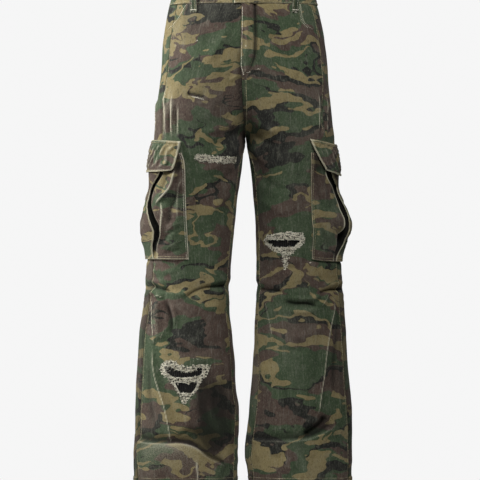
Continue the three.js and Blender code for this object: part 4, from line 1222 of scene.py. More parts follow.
def backing_cloth():
    """Black ribbed cotton behind the tears."""
    g = Nodes("ribbed_backing")
    uv = g.n("ShaderNodeUVMap", uv_map="Cut").outputs[0]
    sep = g.n("ShaderNodeSeparateXYZ")
    g.link(uv, sep.inputs[0])
    rib = g.math("SINE", g.math("MULTIPLY", sep.outputs[0], 2 * math.pi / 0.0042))
    n = g.noise(g.mapping(uv, (700, 500, 1)), 1.0, 2.0, 0.7).outputs["Fac"]
    lint = g.noise(g.mapping(uv, (260, 90, 1), (4, 0, 0)), 1.0, 3.0, 0.7).outputs["Fac"]
    col = g.mixc(g.ramp(rib, -0.6, 0.9), srgb(10, 10, 11), srgb(38, 37, 37))
    col = g.mixc(g.math("MULTIPLY", g.ramp(n, 0.5, 0.8), 0.35), col, srgb(78, 76, 72))
    col = g.mixc(g.math("MULTIPLY", g.ramp(lint, 0.62, 0.80), 0.4), col, srgb(120, 118, 108))
    g.link(col, g.bsdf.inputs["Base Color"])
    g.bsdf.inputs["Roughness"].default_value = 0.95
    g.bsdf.inputs["Specular IOR Level"].default_value = 0.15
    bump = g.n("ShaderNodeBump")
    bump.inputs["Strength"].default_value = 0.8
    bump.inputs["Distance"].default_value = 0.0008
    g.link(g.math("ADD", rib, g.math("MULTIPLY", n, 0.8)), bump.inputs["Height"])
    g.link(bump.outputs[0], g.bsdf.inputs["Normal"])
    return g.m


def thread_material(name, pale, dark, share=0.5):
    """Twisted cotton thread, soiled in places."""
    g = Nodes(name)
    tc = g.n("ShaderNodeTexCoord").outputs["Object"]
    n = g.noise(tc, 60.0, 3.0, 0.7).outputs["Fac"]
    f = g.noise(tc, 900.0, 1.0, 0.6).outputs["Fac"]
    col = g.mixc(g.ramp(n, share - 0.12, share + 0.14), dark, pale)
    col = g.mixc(g.math("MULTIPLY", g.ramp(f, 0.5, 0.7), 0.25), col, dark)
    g.link(col, g.bsdf.inputs["Base Color"])
    g.bsdf.inputs["Roughness"].default_value = 0.85
    g.bsdf.inputs["Specular IOR Level"].default_value = 0.2
    bump = g.n("ShaderNodeBump")
    bump.inputs["Strength"].default_value = 0.4
    bump.inputs["Distance"].default_value = 0.0003
    g.link(f, bump.inputs["Height"])
    g.link(bump.outputs[0], g.bsdf.inputs["Normal"])
    return g.m


def brass_material():
    """Aged brass of the shank button."""
    g = Nodes("aged_brass")
    tc = g.n("ShaderNodeTexCoord").outputs["Object"]
    n = g.noise(tc, 380.0, 4.0, 0.65).outputs["Fac"]
    f = g.noise(tc, 2600.0, 2.0, 0.6).outputs["Fac"]
    col = g.mixc(g.ramp(n, 0.40, 0.66), srgb(70, 58, 40), srgb(134, 112, 74))
    g.link(col, g.bsdf.inputs["Base Color"])
    g.bsdf.inputs["Metallic"].default_value = 1.0
    g.link(g.math("ADD", 0.30, g.math("MULTIPLY", n, 0.35)), g.bsdf.inputs["Roughness"])
    bump = g.n("ShaderNodeBump")
    bump.inputs["Strength"].default_value = 0.35
    bump.inputs["Distance"].default_value = 0.0004
    g.link(g.math("ADD", n, g.math("MULTIPLY", f, 0.4)), bump.inputs["Height"])
    g.link(bump.outputs[0], g.bsdf.inputs["Normal"])
    return g.m


CAMO = camo_cloth("faded_camouflage_twill")
BACKING = backing_cloth()
KHAKI_THREAD = thread_material("khaki_thread", srgb(188, 180, 146), srgb(120, 114, 88))
PALE_THREAD = thread_material("pale_weft", srgb(226, 222, 205), srgb(132, 127, 108), 0.42)
DARK_THREAD = thread_material("drab_thread", srgb(104, 100, 80), srgb(60, 58, 46))
BRASS = brass_material()


PANELS = {}
for side in ("left", "right"):
    for part, cell in (("front", 2.6), ("back", 3.6)):
        ob = leg_panel(side, part, cell * (1.0))
        ob.data.materials.append(CAMO)
        PANELS[(side, part)] = ob


# ------------------------------------------------------------------ stitching and threads
STITCHES = {"khaki": [], "pale": [], "drab": []}


def resample3(P, N, pitch, phase=0.0):
    P, N = np.asarray(P, float), np.asarray(N, float)
    seg = np.linalg.norm(np.diff(P, axis=0), axis=1)
    s = np.concatenate([[0], np.cumsum(seg)])
    u = np.arange(phase, s[-1], pitch)
    return (np.stack([np.interp(u, s, P[:, k]) for k in range(3)], 1),
            np.stack([np.interp(u, s, N[:, k]) for k in range(3)], 1))


def stitch_line(P, N, thread="khaki", pitch=3.4, length=2.6, r=0.54, sink=0.05, miss=0.0, seed=1):
    """One run of lockstitch along points P, lying on a surface with normals N."""
    if len(P) < 2:
        return
    a, na = resample3(P, N, pitch)
    b, _ = resample3(P, N, pitch, length)
    n = min(len(a), len(b))
    if n < 1:
        return
    a, b, na = a[:n], b[:n], na[:n]
    na = na / (np.linalg.norm(na, axis=1, keepdims=True) + 1e-9)
    if miss:
        k = np.random.default_rng(seed).random(n) > miss
        a, b, na = a[k], b[k], na[k]
    STITCHES[thread].append((a - na * sink, b - na * sink, na, np.full(len(a), r)))


def capsules(runs):
    """Joined mesh of short bowed threads."""
    A = np.concatenate([r[0] for r in runs])
    B = np.concatenate([r[1] for r in runs])
    N = np.concatenate([r[2] for r in runs])
    R = np.concatenate([r[3] for r in runs])[:, None]
    D = B - A
    ln = np.linalg.norm(D, axis=1, keepdims=True) + 1e-9
    D = D / ln
    S = np.cross(D, N)
    S = S / (np.linalg.norm(S, axis=1, keepdims=True) + 1e-9)
    U = np.cross(S, D)
    rings = []
    for t, rr, up in ((0.0, 0.0, -0.25), (0.16, 0.85, 0.25), (0.5, 1.0, 0.55), (0.84, 0.85, 0.25), (1.0, 0.0, -0.25)):
        c = A + D * ln * t + U * R * up
        if rr == 0.0:
            rings.append([c])
        else:
            rings.append([c + (S * math.cos(k * math.pi / 2) + U * math.sin(k * math.pi / 2)) * R * rr for k in range(4)])
    pts = np.stack([p for ring in rings for p in ring], 1)      # n, 14, 3
    n = len(A)
    base = (np.arange(n) * 14)[:, None]
    tris, quads = [], []
    for k in range(4):
        m = (k + 1) % 4
        tris.append(base + np.array([[0, 1 + m, 1 + k]]))
        tris.append(base + np.array([[13, 9 + k, 9 + m]]))
        quads.append(base + np.array([[1 + k, 1 + m, 5 + m, 5 + k]]))
        quads.append(base + np.array([[5 + k, 5 + m, 9 + m, 9 + k]]))
    return pts.reshape(-1, 3), [np.concatenate(tris), np.concatenate(quads)]


def offset_line(P, N, dist, edge):
    """Points a set distance in from one edge of a grid: left, right, bottom or top."""
    if edge in ("bottom", "top"):
        P, N = P.transpose(1, 0, 2), N.transpose(1, 0, 2)
    if edge in ("right", "top"):
        P, N = P[:, ::-1], N[:, ::-1]
    seg = np.linalg.norm(np.diff(P, axis=1), axis=2)
    s = np.concatenate([np.zeros((len(P), 1)), np.cumsum(seg, 1)], 1)
    o, m = [], []
    for i in range(len(P)):
        o.append([np.interp(dist, s[i], P[i, :, k]) for k in range(3)])
        m.append([np.interp(dist, s[i], N[i, :, k]) for k in range(3)])
    return np.array(o), np.array(m)


# ------------------------------------------------------------------ cargo pockets
# Rows of the front chart, from the mouth to the bottom seam: y; then x of the front seam, of the strip's
# outer edge where it turns into the pleat, and of the face's rim; then heights over the leg of the
# strip's middle, its outer edge and the rim.
POCKET_ROWS = {
    "left": [
        (152.6, 181.7, 167.0, 163.0, 2.2, 1.8, 2.2), (162, 184.6, 165.5, 161.5, 3.6, 2.8, 4.2),
        (173, 185.5, 163.5, 159.6, 6.4, 4.2, 7.4), (180, 185.6, 159.8, 155.8, 7.0, 4.4, 7.4),
        (187, 185.8, 155.8, 152.0, 7.4, 4.6, 8.0), (194, 185.9, 153.2, 149.4, 8.2, 5.0, 9.4),
        (200, 186.0, 151.9, 147.9, 9.0, 5.6, 11.4), (206, 186.2, 152.2, 147.2, 9.6, 6.0, 13.6),
        (212, 186.4, 153.8, 147.8, 10.2, 6.4, 16.0), (218, 186.6, 156.0, 149.2, 10.6, 6.4, 17.0),
        (226, 187.0, 159.8, 151.8, 10.4, 6.2, 17.0), (232, 187.4, 161.4, 154.0, 9.6, 6.4, 15.4),
        (240, 187.8, 160.2, 153.6, 8.4, 5.6, 12.0), (247, 188.2, 157.2, 152.4, 6.4, 4.4, 8.4),
        (253, 188.5, 156.8, 152.6, 4.0, 3.0, 4.6), (259.6, 188.8, 157.6, 154.0, 1.6, 1.5, 1.9)],
    "right": [
        (152.6, 310.8, 324.5, 329.0, 2.2, 1.8, 2.2), (164, 310.7, 325.0, 330.2, 3.8, 3.0, 4.8),
        (174, 310.5, 326.2, 331.8, 6.2, 6.6, 8.0), (187, 310.6, 331.4, 336.6, 6.8, 7.6, 8.6),
        (196, 310.9, 334.8, 339.8, 7.6, 8.8, 10.0), (205, 311.2, 338.4, 344.2, 8.8, 11.0, 14.0),
        (214, 311.4, 342.4, 348.0, 10.6, 14.0, 19.0), (222, 312.0, 345.4, 350.0, 12.0, 16.4, 22.4),
        (228, 312.6, 345.4, 350.3, 12.4, 16.0, 23.0), (231.5, 312.8, 340.5, 349.8, 12.0, 11.5, 22.4),
        (235, 312.8, 336.4, 348.2, 11.6, 8.0, 20.0), (242, 312.6, 335.4, 344.4, 10.0, 6.6, 14.4),
        (250, 312.2, 334.6, 339.8, 7.0, 5.0, 8.0), (256, 312.0, 333.8, 336.8, 3.6, 2.8, 3.8),
        (260, 312.0, 333.2, 335.6, 1.7, 1.5, 1.9)],
}
POCKET_LIFT = {
    "left": [[0, 2.2], [0.1, 3.4], [0.17, 5.4], [0.23, 7], [0.36, 9], [0.46, 12], [0.58, 17.5], [0.73, 17], [0.8, 15.5], [0.9, 8], [1, 2]],
    "right": [[0, 2.2], [0.1, 3.4], [0.17, 5.6], [0.23, 7.4], [0.36, 9.5], [0.46, 14], [0.58, 21.5], [0.7, 24.5], [0.78, 20], [0.88, 9], [1, 2]],
}
# creases of the strips: chart points, lift, half width
STRIP_FOLDS = {
    "left": [([(174.6, 169), (173, 180), (170.6, 187.5), (166, 194.5), (161, 200.2), (156.5, 205.5)], 6.6, 4.8),
             ([(162.0, 201), (164.2, 211), (163.6, 220), (162.6, 228), (160.4, 238), (157.0, 247)], 6.4, 4.6),
             ([(167, 174), (163.5, 184), (159, 193)], -3.2, 4.4), ([(157.5, 207), (158.5, 214), (160.5, 221)], -2.2, 4.0),
             ([(183, 226), (176, 229), (168, 235), (164, 243)], -2.0, 3.4), ([(184, 221), (174, 225), (167, 231)], 1.6, 4.0),
             ([(184, 240), (174, 245), (164, 252)], 1.5, 4.4), ([(181, 160), (177, 170), (176, 186)], -1.8, 5.0),
             ([(181, 186), (174, 200), (170, 212), (169, 226)], -4.6, 6.0), ([(183, 176), (178, 188), (177, 204), (178, 222)], 2.4, 6.0), ([(180, 250), (170, 254), (160, 256.5)], -1.6, 3.4)],
    "right": [([(325.4, 172), (332, 189), (338, 204), (344.2, 218)], 1.6, 2.6),
              ([(334.8, 231), (334.4, 242), (333.4, 256)], 3.4, 3.0),
              ([(314, 166), (318, 186), (322, 208)], -2.2, 6.0), ([(316, 196), (326, 214), (334, 228)], 1.8, 6.0),
              ([(318, 222), (324, 234), (328, 248)], -1.8, 5.0), ([(313.5, 214), (319, 232), (320, 250)], 1.4, 4.0),
              ([(326, 180), (328, 196), (331, 212)], -1.4, 5.0)],
}
CUT_PIECE = {}


def q_at_x(side, x, z, h):
    """Arc place on the front where a point at height h over the leg shows at x."""
    L = LEGS[side]
    g = np.linspace(-55, 125, 181)
    out = np.empty(len(z))
    qf = q_front_seam(side, z)
    for i in range(len(z)):
        q = qf[i] + 8 - g
        P, _ = on_leg(side, q, np.full_like(q, z[i]), np.full_like(q, h[i]))
        X = P[:, 0] * L.sign
        k = int(np.argmax(X))
        out[i] = np.interp(x[i] * L.sign, X[:k + 1], q[:k + 1])
    return out


def h_for_x(side, a, x, z, h):
    """Height over the leg at which the place a shows at x."""
    L = LEGS[side]
    qf = q_front_seam(side, z)
    h = np.array(h, float)
    for _ in range(6):
        P, _ = on_leg(side, qf - a, z, h + 1.9)
        h = np.clip(h + (x * L.sign - P[:, 0] * L.sign) / 0.8, 0.4, 30.0)
    return h


def spline_rows(ctrl, n, weights):
    """Catmull-Rom through control columns (R, K, 2), sampled at n places."""
    R, K, _ = ctrl.shape
    t = np.cumsum([0] + list(weights))
    u = np.linspace(0, t[-1], n)
    out = np.empty((R, n, 2))
    m = np.empty_like(ctrl)
    m[:, 0] = (ctrl[:, 1] - ctrl[:, 0]) / (t[1] - t[0])
    m[:, -1] = (ctrl[:, -1] - ctrl[:, -2]) / (t[-1] - t[-2])
    for k in range(1, K - 1):
        m[:, k] = (ctrl[:, k + 1] - ctrl[:, k - 1]) / (t[k + 1] - t[k - 1])
    for j, v in enumerate(u):
        k = min(K - 2, int(np.searchsorted(t, v, side="right") - 1))
        h = t[k + 1] - t[k]
        s = (v - t[k]) / h
        out[:, j] = (ctrl[:, k] * (2*s**3 - 3*s**2 + 1) + h * m[:, k] * (s**3 - 2*s**2 + s)
                     + ctrl[:, k + 1] * (3*s**2 - 2*s**3) + h * m[:, k + 1] * (s**3 - s**2))
    return out


def bottom_shift(side, a, z):
    """The bottom seam lies a little higher towards the front."""
    t = np.minimum(a, POCKET_WIDTH - a)
    if side == "left":
        d = 4.4 + 0 * t
    else:
        d = mono([(-20, 11.5), (0, 11.2), (28, 2.8), (60, 0.0), (110, -1.2)])(t)
    return d * smooth(-470, POCKET_BOTTOM, z)


def place_pocket(side, a, z, h, mirror):
    """Points of a pocket piece; a is the arc from the front seam, mirrored for the back."""
    z = z + bottom_shift(side, a, z)
    qf = q_front_seam(side, z)
    aa = POCKET_WIDTH - a if mirror else a
    P, N = on_leg(side, qf - aa, z, h)
    return P, N


def grid_normals(P):
    du = np.gradient(P, axis=1)
    dv = np.gradient(P, axis=0)
    n = np.cross(du, dv)
    return n / (np.linalg.norm(n, axis=-1, keepdims=True) + 1e-9)


def cloth_piece(name, P, N, a, z, wall, wear_and_highlight, shift, node, coarse=True, rub=None, shade_and_soil=None):
    """A closed thin shell from a grid of outer points."""
    G = grid_normals(P)
    if (G * N).sum() < 0:
        G = -G
    # the inner side follows the outer one by the wall, without crossing itself at sharp folds
    Gs = G.copy()
    for _ in range(3):
        Gs = (Gs + np.roll(Gs, 1, 1) + np.roll(Gs, -1, 1)) / 3 if Gs.shape[1] > 3 else Gs
        Gs[:, 0], Gs[:, -1] = G[:, 0], G[:, -1]
    Pin = P - Gs / (np.linalg.norm(Gs, axis=-1, keepdims=True) + 1e-9) * wall
    R, C = P.shape[:2]
    flip = facing(P, N)
    co = np.concatenate([P.reshape(-1, 3), Pin.reshape(-1, 3)])
    uv = np.stack([np.asarray(a) * MM + shift[0], np.asarray(z) * MM + shift[1]], -1).reshape(-1, 2)
    uv = np.concatenate([uv, uv])
    n = R * C
    att = {"wear_and_highlight": np.concatenate([np.asarray(wear_and_highlight, float).ravel(), np.zeros(n)]),
           "rub": np.concatenate([np.zeros(n) if rub is None else rub.ravel(), np.zeros(n)]),
           "inside": np.concatenate([np.zeros(n), np.ones(n)]),
           "shade_and_soil": np.concatenate([np.zeros(n) if shade_and_soil is None else shade_and_soil.ravel(), np.zeros(n)])}
    ob = make_mesh(name, co, shell_polys(R, C, coarse=coarse, flip=flip), uv, att)
    ob.data.materials.append(CAMO)
    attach(ob, "root")
    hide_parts(node)
    return ob


def build_pocket(side):
    L = LEGS[side]
    rows = np.array(POCKET_ROWS[side])
    zt = cz(rows[:, 0])
    zt[0], zt[-1] = POCKET_TOP, POCKET_BOTTOM
    tab = [mono(list(zip(zt, rows[:, k]))) for k in range(1, 7)]
    R = 97
    z = np.linspace(POCKET_BOTTOM, POCKET_TOP, R)
    xa, xc, xd, hm, hc, hd = (t(z) for t in tab)
    qf = q_front_seam(side, z)
    ac = qf - q_at_x(side, cx(xc), z, hc)
    ad = qf - q_at_x(side, cx(xd), z, hd)
    ad = np.maximum(ad, ac + 2.5)
    # the face keeps a middle of its own between the two pleats
    ac1 = np.minimum(ac, 86.0)
    ad1 = np.clip(ad, ac1 + 5.0, 94.0)
    hc = np.where(ac1 < ac - 0.2, np.maximum(hc, h_for_x(side, ac1, cx(xc), z, hc)), hc)
    hd = np.where(ad1 < ad - 0.2, np.maximum(hd, h_for_x(side, ad1, cx(xd), z, hd)), hd)
    ac, ad = ac1, ad1
    k5 = np.ones(5) / 5
    hc, hd = (np.convolve(np.pad(v, 2, mode="edge"), k5, mode="valid") for v in (hc, hd))
    ac_back = np.where(ac > 50, 50 + (ac - 50) * 0.50, ac)
    ad_back = ac_back + np.clip(ad - ac, 5, 11)
    # rows near the mouth and the bottom agree with the flat seams
    zero = qf - q_at_x(side, cx(xa), z, np.full(R, 1.5))
    def columns(ac, ad, hc, hd):
        am = zero + (ac - zero) * 0.56
        deep = np.clip(np.minimum(hc, hd) * 0.12, 0.4, 2.4)
        return np.stack([
            np.stack([zero, hm * 0 + 0.2], 1), np.stack([zero + 1.2, hm * 0 + 1.0], 1),
            np.stack([zero + 7, 0.9 + hm * 0.12], 1), np.stack([zero + (am - zero) * 0.62, 1 + hm * 0.62], 1),
            np.stack([am, hm], 1), np.stack([ac - 3, mix(hm, hc, 0.75)], 1), np.stack([ac, hc], 1),
            np.stack([ac + 1.0, hc * 0.5 + deep * 0.5], 1), np.stack([mix(ac, ad, 0.40) + 0.8, deep], 1),
            np.stack([ad + 3.6, deep], 1), np.stack([ad + 4.6, mix(deep, hd, 0.5)], 1),
            np.stack([ad + 3.4, np.maximum(hd - 2.1, deep + 0.2)], 1),
            np.stack([ad + 8, np.maximum(hd - 2.3, deep + 0.2)], 1)], 1)
    C = 65
    W = [1.0, 3, 8, 6, 8, 4, 3, 4, 4, 3, 3, 3]
    ac_front, ad_front = ac, ad
    for mirror in (False, True):
        ac, ad = (ac_back, ad_back) if mirror else (ac_front, ad_front)
        g = spline_rows(columns(ac, ad, np.minimum(hc, 13) if mirror else hc, np.minimum(hd, 15) if mirror else hd), C, W)
        a, h = g[..., 0], g[..., 1] * (1.0 if not mirror else 0.96)
        zz = np.repeat(z[:, None], C, 1)
        seed = 71 if not mirror else 83
        q = qf[:, None] - a
        D = np.zeros(q.shape)
        wear_and_highlight = np.zeros(q.shape)
        crease_shade = np.zeros(q.shape)
        for k, (pts, lift, w) in enumerate(STRIP_FOLDS[side]):
            pp = np.array(pts, float)
            fz = cz(pp[:, 1])
            fh = np.full(len(pp), 7.0)
            fq = q_at_x(side, cx(pp[:, 0]), fz, fh)
            line = resampled(np.stack([fq, fz], 1), 5.0)
            d, _, t = along(line, q.ravel(), zz.ravel())
            d, t = d.reshape(q.shape), t.reshape(q.shape)
            amp = lift * smooth(0, 0.22, t + 0.03) * smooth(0, 0.22, 1.03 - t) * (1.0 if not mirror else 0.8)
            e = 0.25 * w
            v = np.exp(-(np.sqrt(d * d + e * e) - e) / w)
            D += amp * v
            wear_and_highlight += np.clip(amp, 0, None) * 0.17 * np.exp(-(d / (0.34 * w)) ** 2)
            # painted shade in the strip's troughs
            crease_shade += np.clip(-amp, 0, None) * 0.16 * np.exp(-(d / (0.9 * w)) ** 2)
        b = a - zero[:, None]
        on = smooth(2, 12, b) * smooth(ac[:, None] + 1.5, ac[:, None] - 3, a)
        ends = smooth(POCKET_BOTTOM + 1, POCKET_BOTTOM + 16, zz)
        D = 1.35 * D * on * ends + (1.2 * noise(q / 22, zz / 30, seed) + 0.7 * noise(q / 9, zz / 14, seed + 1)) * on * ends
        # seam puckers and the stitched bottom hem
        D = D + 0.35 * np.sin(2 * math.pi * zz / 11 + 2 * noise(zz / 30, zz * 0, seed)) * np.exp(-((b - 4) / 6) ** 2) * smooth(0, 3, b)
        D = D + 0.5 * np.exp(-((b - 3) / 3) ** 2) - 0.5 * np.exp(-((b - 7.0) / 1.6) ** 2)
        bot = zz - POCKET_BOTTOM
        D = D + 0.5 * np.exp(-((bot - 2.5) / 3.5) ** 2) * smooth(0, 1.0, bot) + 0.35 * np.sin(2 * math.pi * a / 12) * np.exp(-(bot / 7) ** 2) * smooth(0, 3, bot)
        # the left pocket's strip is made paler all over: painted highlight
        wear_and_highlight = wear_and_highlight + (0.16 if side == "left" and not mirror else 0.0) + 0.75 * np.exp(-((b - 1.0) / 1.6) ** 2) + 0.6 * np.exp(-((bot - 1) / 2.2) ** 2)
        wear_and_highlight = wear_and_highlight + 1.0 * np.exp(-((a - ac[:, None] + 0.6) / 2.1) ** 2) * (1.5 if side == "right" else 0.5)
        base_h = WALL + 0.3
        # painted shade on the pleat's inner wall
        shade_and_soil = 1.35 * smooth(ac[:, None] + 0.6, ac[:, None] + 2.6, a) * smooth(POCKET_BOTTOM + 2, POCKET_BOTTOM + 30, zz)
        # painted shadow on the strip under the flap
        shade_and_soil = np.maximum(shade_and_soil, 0.95 * smooth(-381, -366, zz + 0.10 * b) * smooth(5, 11, b))
        shade_and_soil = np.clip(shade_and_soil + crease_shade * on * ends, 0, 1.4)
        P, N = place_pocket(side, a, zz, base_h + h + D, mirror)
        edge = "back" if mirror else "front"
        width = float(np.linalg.norm(np.diff(P, axis=1), axis=2).sum(1).max()) * MM
        area = float((np.linalg.norm(np.diff(P, axis=1), axis=2).sum(1)[:-1] * np.diff(z)).sum()) * MM * MM
        area = min(max(area, 0.31 * width * 0.231), width * 0.231)
        cloth_piece(f"pocket_bellows_{edge}_{side}_cloth", P, N, a, zz, 1.3, wear_and_highlight,
                    (4.7 + 0.31 * (side == "right") + 0.9 * mirror, 2.9), f"pocket_bellows_{edge}_{side}",
                    shade_and_soil=shade_and_soil)
        G = grid_normals(P)
        G = G if (G * N).sum() > 0 else -G
        for dist in (1.5, 5.8):
            o, m = offset_line(P, G, dist, "left")
            stitch_line(o, m, "khaki" if side == "right" else "pale", sink=0.05)
        cut = int(C * 0.80)
        for dist in (1.6, 6.4):
            o, m = offset_line(P[:, 2:cut], G[:, 2:cut], dist, "bottom")
            stitch_line(o, m, "khaki", sink=0.05)
    # the face between the pleats
    C = 57
    u = np.linspace(0, 1, C)
    liftf = mono([(POCKET_TOP - v * (POCKET_TOP - POCKET_BOTTOM), h) for v, h in POCKET_LIFT[side]])
    H = liftf(z)
    ad = ad_front
    a = ad[:, None] + (POCKET_WIDTH - ad - ad_back)[:, None] * u[None, :]
    zz = np.repeat(z[:, None], C, 1)
    e = np.minimum(a - ad[:, None], POCKET_WIDTH - ad_back[:, None] - a)
    rim = mix(hd[:, None], np.minimum(hd, 15)[:, None], smooth(0.15, 0.95, u)[None, :])
    h = mix(rim, np.maximum(np.maximum(H, hd)[:, None] + 0.6, rim), smooth(0, 26, e))
    h = h - 0.9 * np.exp(-(e / 1.2) ** 2)
    q = qf[:, None] - a
    D = 0.9 * noise(q / 30, zz / 42, 91) + 0.5 * noise(q / 12, zz / 18, 92)
    D = D * smooth(0, 14, e) * smooth(POCKET_BOTTOM, POCKET_BOTTOM + 20, zz)
    # slack cloth buckles over the fullest part
    for yy, k, w in ((203, -1.6, 9), (224, 1.6, 10), (240, -2.4, 7)):
        D = D + k * np.exp(-((zz - cz(yy) - 5 * noise(q / 40, q * 0, 93)) / w) ** 2) * smooth(2, 20, e)
    D = D - 0.6 * np.exp(-((e - 5.2) / 1.5) ** 2) + 0.5 * np.exp(-((e - 2.2) / 2.0) ** 2)
    D = D + 0.3 * np.sin(2 * math.pi * zz / 12) * np.exp(-((e - 3) / 4) ** 2)
    bot = zz - POCKET_BOTTOM
    D = D + 0.4 * np.exp(-((bot - 2.5) / 3.5) ** 2)
    wear_and_highlight = 0.95 * np.exp(-((e - 0.6) / 1.8) ** 2) + 0.6 * np.exp(-((bot - 1) / 2.2) ** 2) + 0.12 * np.clip(D, 0, 2)
    # the left pocket's face is made paler all over: painted highlight
    if side == "left":
        wear_and_highlight = wear_and_highlight + 0.12
    P, N = place_pocket(side, a, zz, WALL + 0.3 + h + D, False)
    rowlen = np.linalg.norm(np.diff(P, axis=1), axis=2).sum(1)
    width, area = float(rowlen.max()) * MM, float((rowlen[:-1] * np.diff(z)).sum()) * MM * MM
    cloth_piece(f"pocket_face_{side}_cloth", P, N, a, zz, 1.5, wear_and_highlight, (6.3 + 0.4 * (side == "right"), 1.2),
                f"pocket_face_{side}")
    G = grid_normals(P)
    G = G if (G * N).sum() > 0 else -G
    for edge in ("left", "right"):
        for dist in (1.8, 5.6):
            o, m = offset_line(P, G, dist, edge)
            stitch_line(o, m, "khaki", sink=0.05)
    for dist in (1.6, 6.4):
        o, m = offset_line(P[:, 2:-2], G[:, 2:-2], dist, "bottom")
        stitch_line(o, m, "khaki", sink=0.05)
    build_flap(side)


def build_flap(side):
    L = LEGS[side]
    R, C = 49, 97
    v = np.linspace(1, 0, R)[:, None] * np.ones((1, C))      # 0 at the seam, 1 at the free edge
    u = np.linspace(0, 1, C)[None, :] * np.ones((R, 1))
    tz = mono([(0, 141.4), (0.25, 140.0), (0.5, 139.4), (1, 139.4)]) if side == "left" else mono([(0, 138.8), (0.2, 141.6), (0.45, 143.6), (1, 142.5)])
    top = cz(tz(u))
    top0 = float(cz(tz(0.0)))
    if side == "left":
        fx = mono([(0.0, 181.0), (0.12, 180.4), (0.35, 178.6), (0.7, 175.9), (0.92, 174.0), (1.0, 173.4)])
        bz = mono([(0.0, 170.8), (0.3, 171.6), (0.6, 171.8), (1.0, 170.8)])
    else:
        fx = mono([(0.0, 309.8), (0.12, 311.2), (0.5, 317.0), (0.85, 323.0), (1.0, 325.6)])
        bz = mono([(0.0, 170.6), (0.12, 172.4), (0.3, 174.2), (0.6, 175.2), (0.85, 173.8), (1.0, 170.8)])
    zb = cz(bz(u))
    z = top + (zb - top) * v
    # front edge as arc from the pocket's front seam, corners rounded
    vv = v[:, 0]
    zf = top0 + (float(cz(bz(0.0))) - top0) * vv
    hf = 2.0 + 8.0 * vv ** 0.85
    qf_edge = q_at_x(side, cx(fx(vv)), zf, hf)
    af = q_front_seam(side, zf) - qf_edge
    corner = lambda t, r: r * (1 - np.sqrt(np.clip(1 - np.clip((t - (1 - r / 72)) / (r / 72), 0, 1) ** 2, 0, 1)))
    af = af + corner(vv, 9.0 if side == "left" else 4.0)
    ab = POCKET_WIDTH + 2 - 18 * vv - corner(vv, 9.0)
    a = af[:, None] + (ab - af)[:, None] * u
    e = np.minimum(a - af[:, None], ab[:, None] - a)           # from the side edges
    eb = (1 - v) * 70.0                                        # from the free edge
    ev = v * 70.0                                              # from the sewn edge
    hump = 12.4 if side == "left" else 13.0
    h = mix(1.0, hump, v ** 0.85)
    side_drop = mix(0.8, 1.0, np.sin(np.clip(e / 34, 0, 1) * math.pi / 2))
    h = 0.6 + (h - 0.6) * side_drop
    h = h + 1.4 * smooth(0.55, 1.0, v) * np.sin(np.clip(u, 0, 1) * math.pi * 3 + (0.4 if side == "left" else 1.2)) * 0.8
    # welted edges stand up, the stitching sinks in
    edge = np.minimum(e, eb)
    D = 0.9 * np.exp(-((edge - 2.0) / 2.4) ** 2) - 0.7 * np.exp(-((edge - 6.4) / 1.4) ** 2) - 1.0 * np.exp(-(edge / 0.9) ** 2)
    D = D + 0.8 * np.exp(-((ev - 3.2) / 2.0) ** 2) - 0.8 * np.exp(-((ev - 7.6) / 1.3) ** 2) - 0.5 * np.exp(-((ev - 1.0) / 1.0) ** 2)
    # drag lines from the sewn edge to the corner, uneven
    s1 = a + 0.9 * (z - top)
    drag = np.sin(2 * math.pi * (s1 * 0.045 + 0.5 * noise(a / 30, z / 30, 95))) * 1.7 + 0.9 * np.sin(2 * math.pi * (a * 0.085 + 0.3 * noise(a / 20, z / 20, 96)))
    D = D + drag * smooth(7, 14, edge) * smooth(8, 16, ev)
    D = D + 0.8 * np.sin(2 * math.pi * a / 10.5 + noise(a / 20, a * 0, 97)) * np.exp(-((ev - 9) / 5) ** 2)
    D = D + 0.35 * np.sin(2 * math.pi * (a + z) / 11.5) * np.exp(-((edge - 4) / 4) ** 2)
    D = D + 0.6 * noise(a / 11, z / 13, 98) * smooth(4, 12, edge)
    wear_and_highlight = 1.05 * np.exp(-((edge - 0.7) / 1.9) ** 2) + 0.5 * np.exp(-((ev - 1.0) / 1.6) ** 2) + 0.22 * np.clip(D, 0, 3)
    # a worn band along the free and side edges; the left flap is made paler all over, a painted highlight
    wear_and_highlight = wear_and_highlight + 0.40 * smooth(10, 2, edge) * (1.5 if side == "right" else 0.6) + (0.14 if side == "left" else 0.0)
    wear_and_highlight = wear_and_highlight + 1.3 * np.exp(-(((a - af[:, None]) / 7) ** 2 + (ev / 6) ** 2))
    P, N = place_pocket(side, a, z, WALL + 0.6 + h + D, False)
    G = grid_normals(P)
    G = G if (G * N).sum() > 0 else -G
    cloth_piece(f"pocket_flap_{side}_cloth", P, N, a, z, 2.6, wear_and_highlight, (8.7 if side == "right" else 8.95, 3.3),
                f"pocket_flap_{side}")
    for edge in ("left", "right"):
        for dist in (1.6, 6.0):
            o, m = offset_line(P, G, dist, edge)
            stitch_line(o[3:-2], m[3:-2], "khaki" if edge == "left" else "khaki", sink=0.05)
    for dist in (1.6, 6.0):
        o, m = offset_line(P[:, 6:-6], G[:, 6:-6], dist, "bottom")
        stitch_line(o, m, "khaki", sink=0.05)
    for dist in (1.4, 6.6):
        o, m = offset_line(P[:, 1:-1], G[:, 1:-1], dist, "top")
        stitch_line(o, m, "khaki", sink=0.05)


for side in ("left", "right"):
    build_pocket(side)


# ------------------------------------------------------------------ waistband
BAND_LAP = 20.0


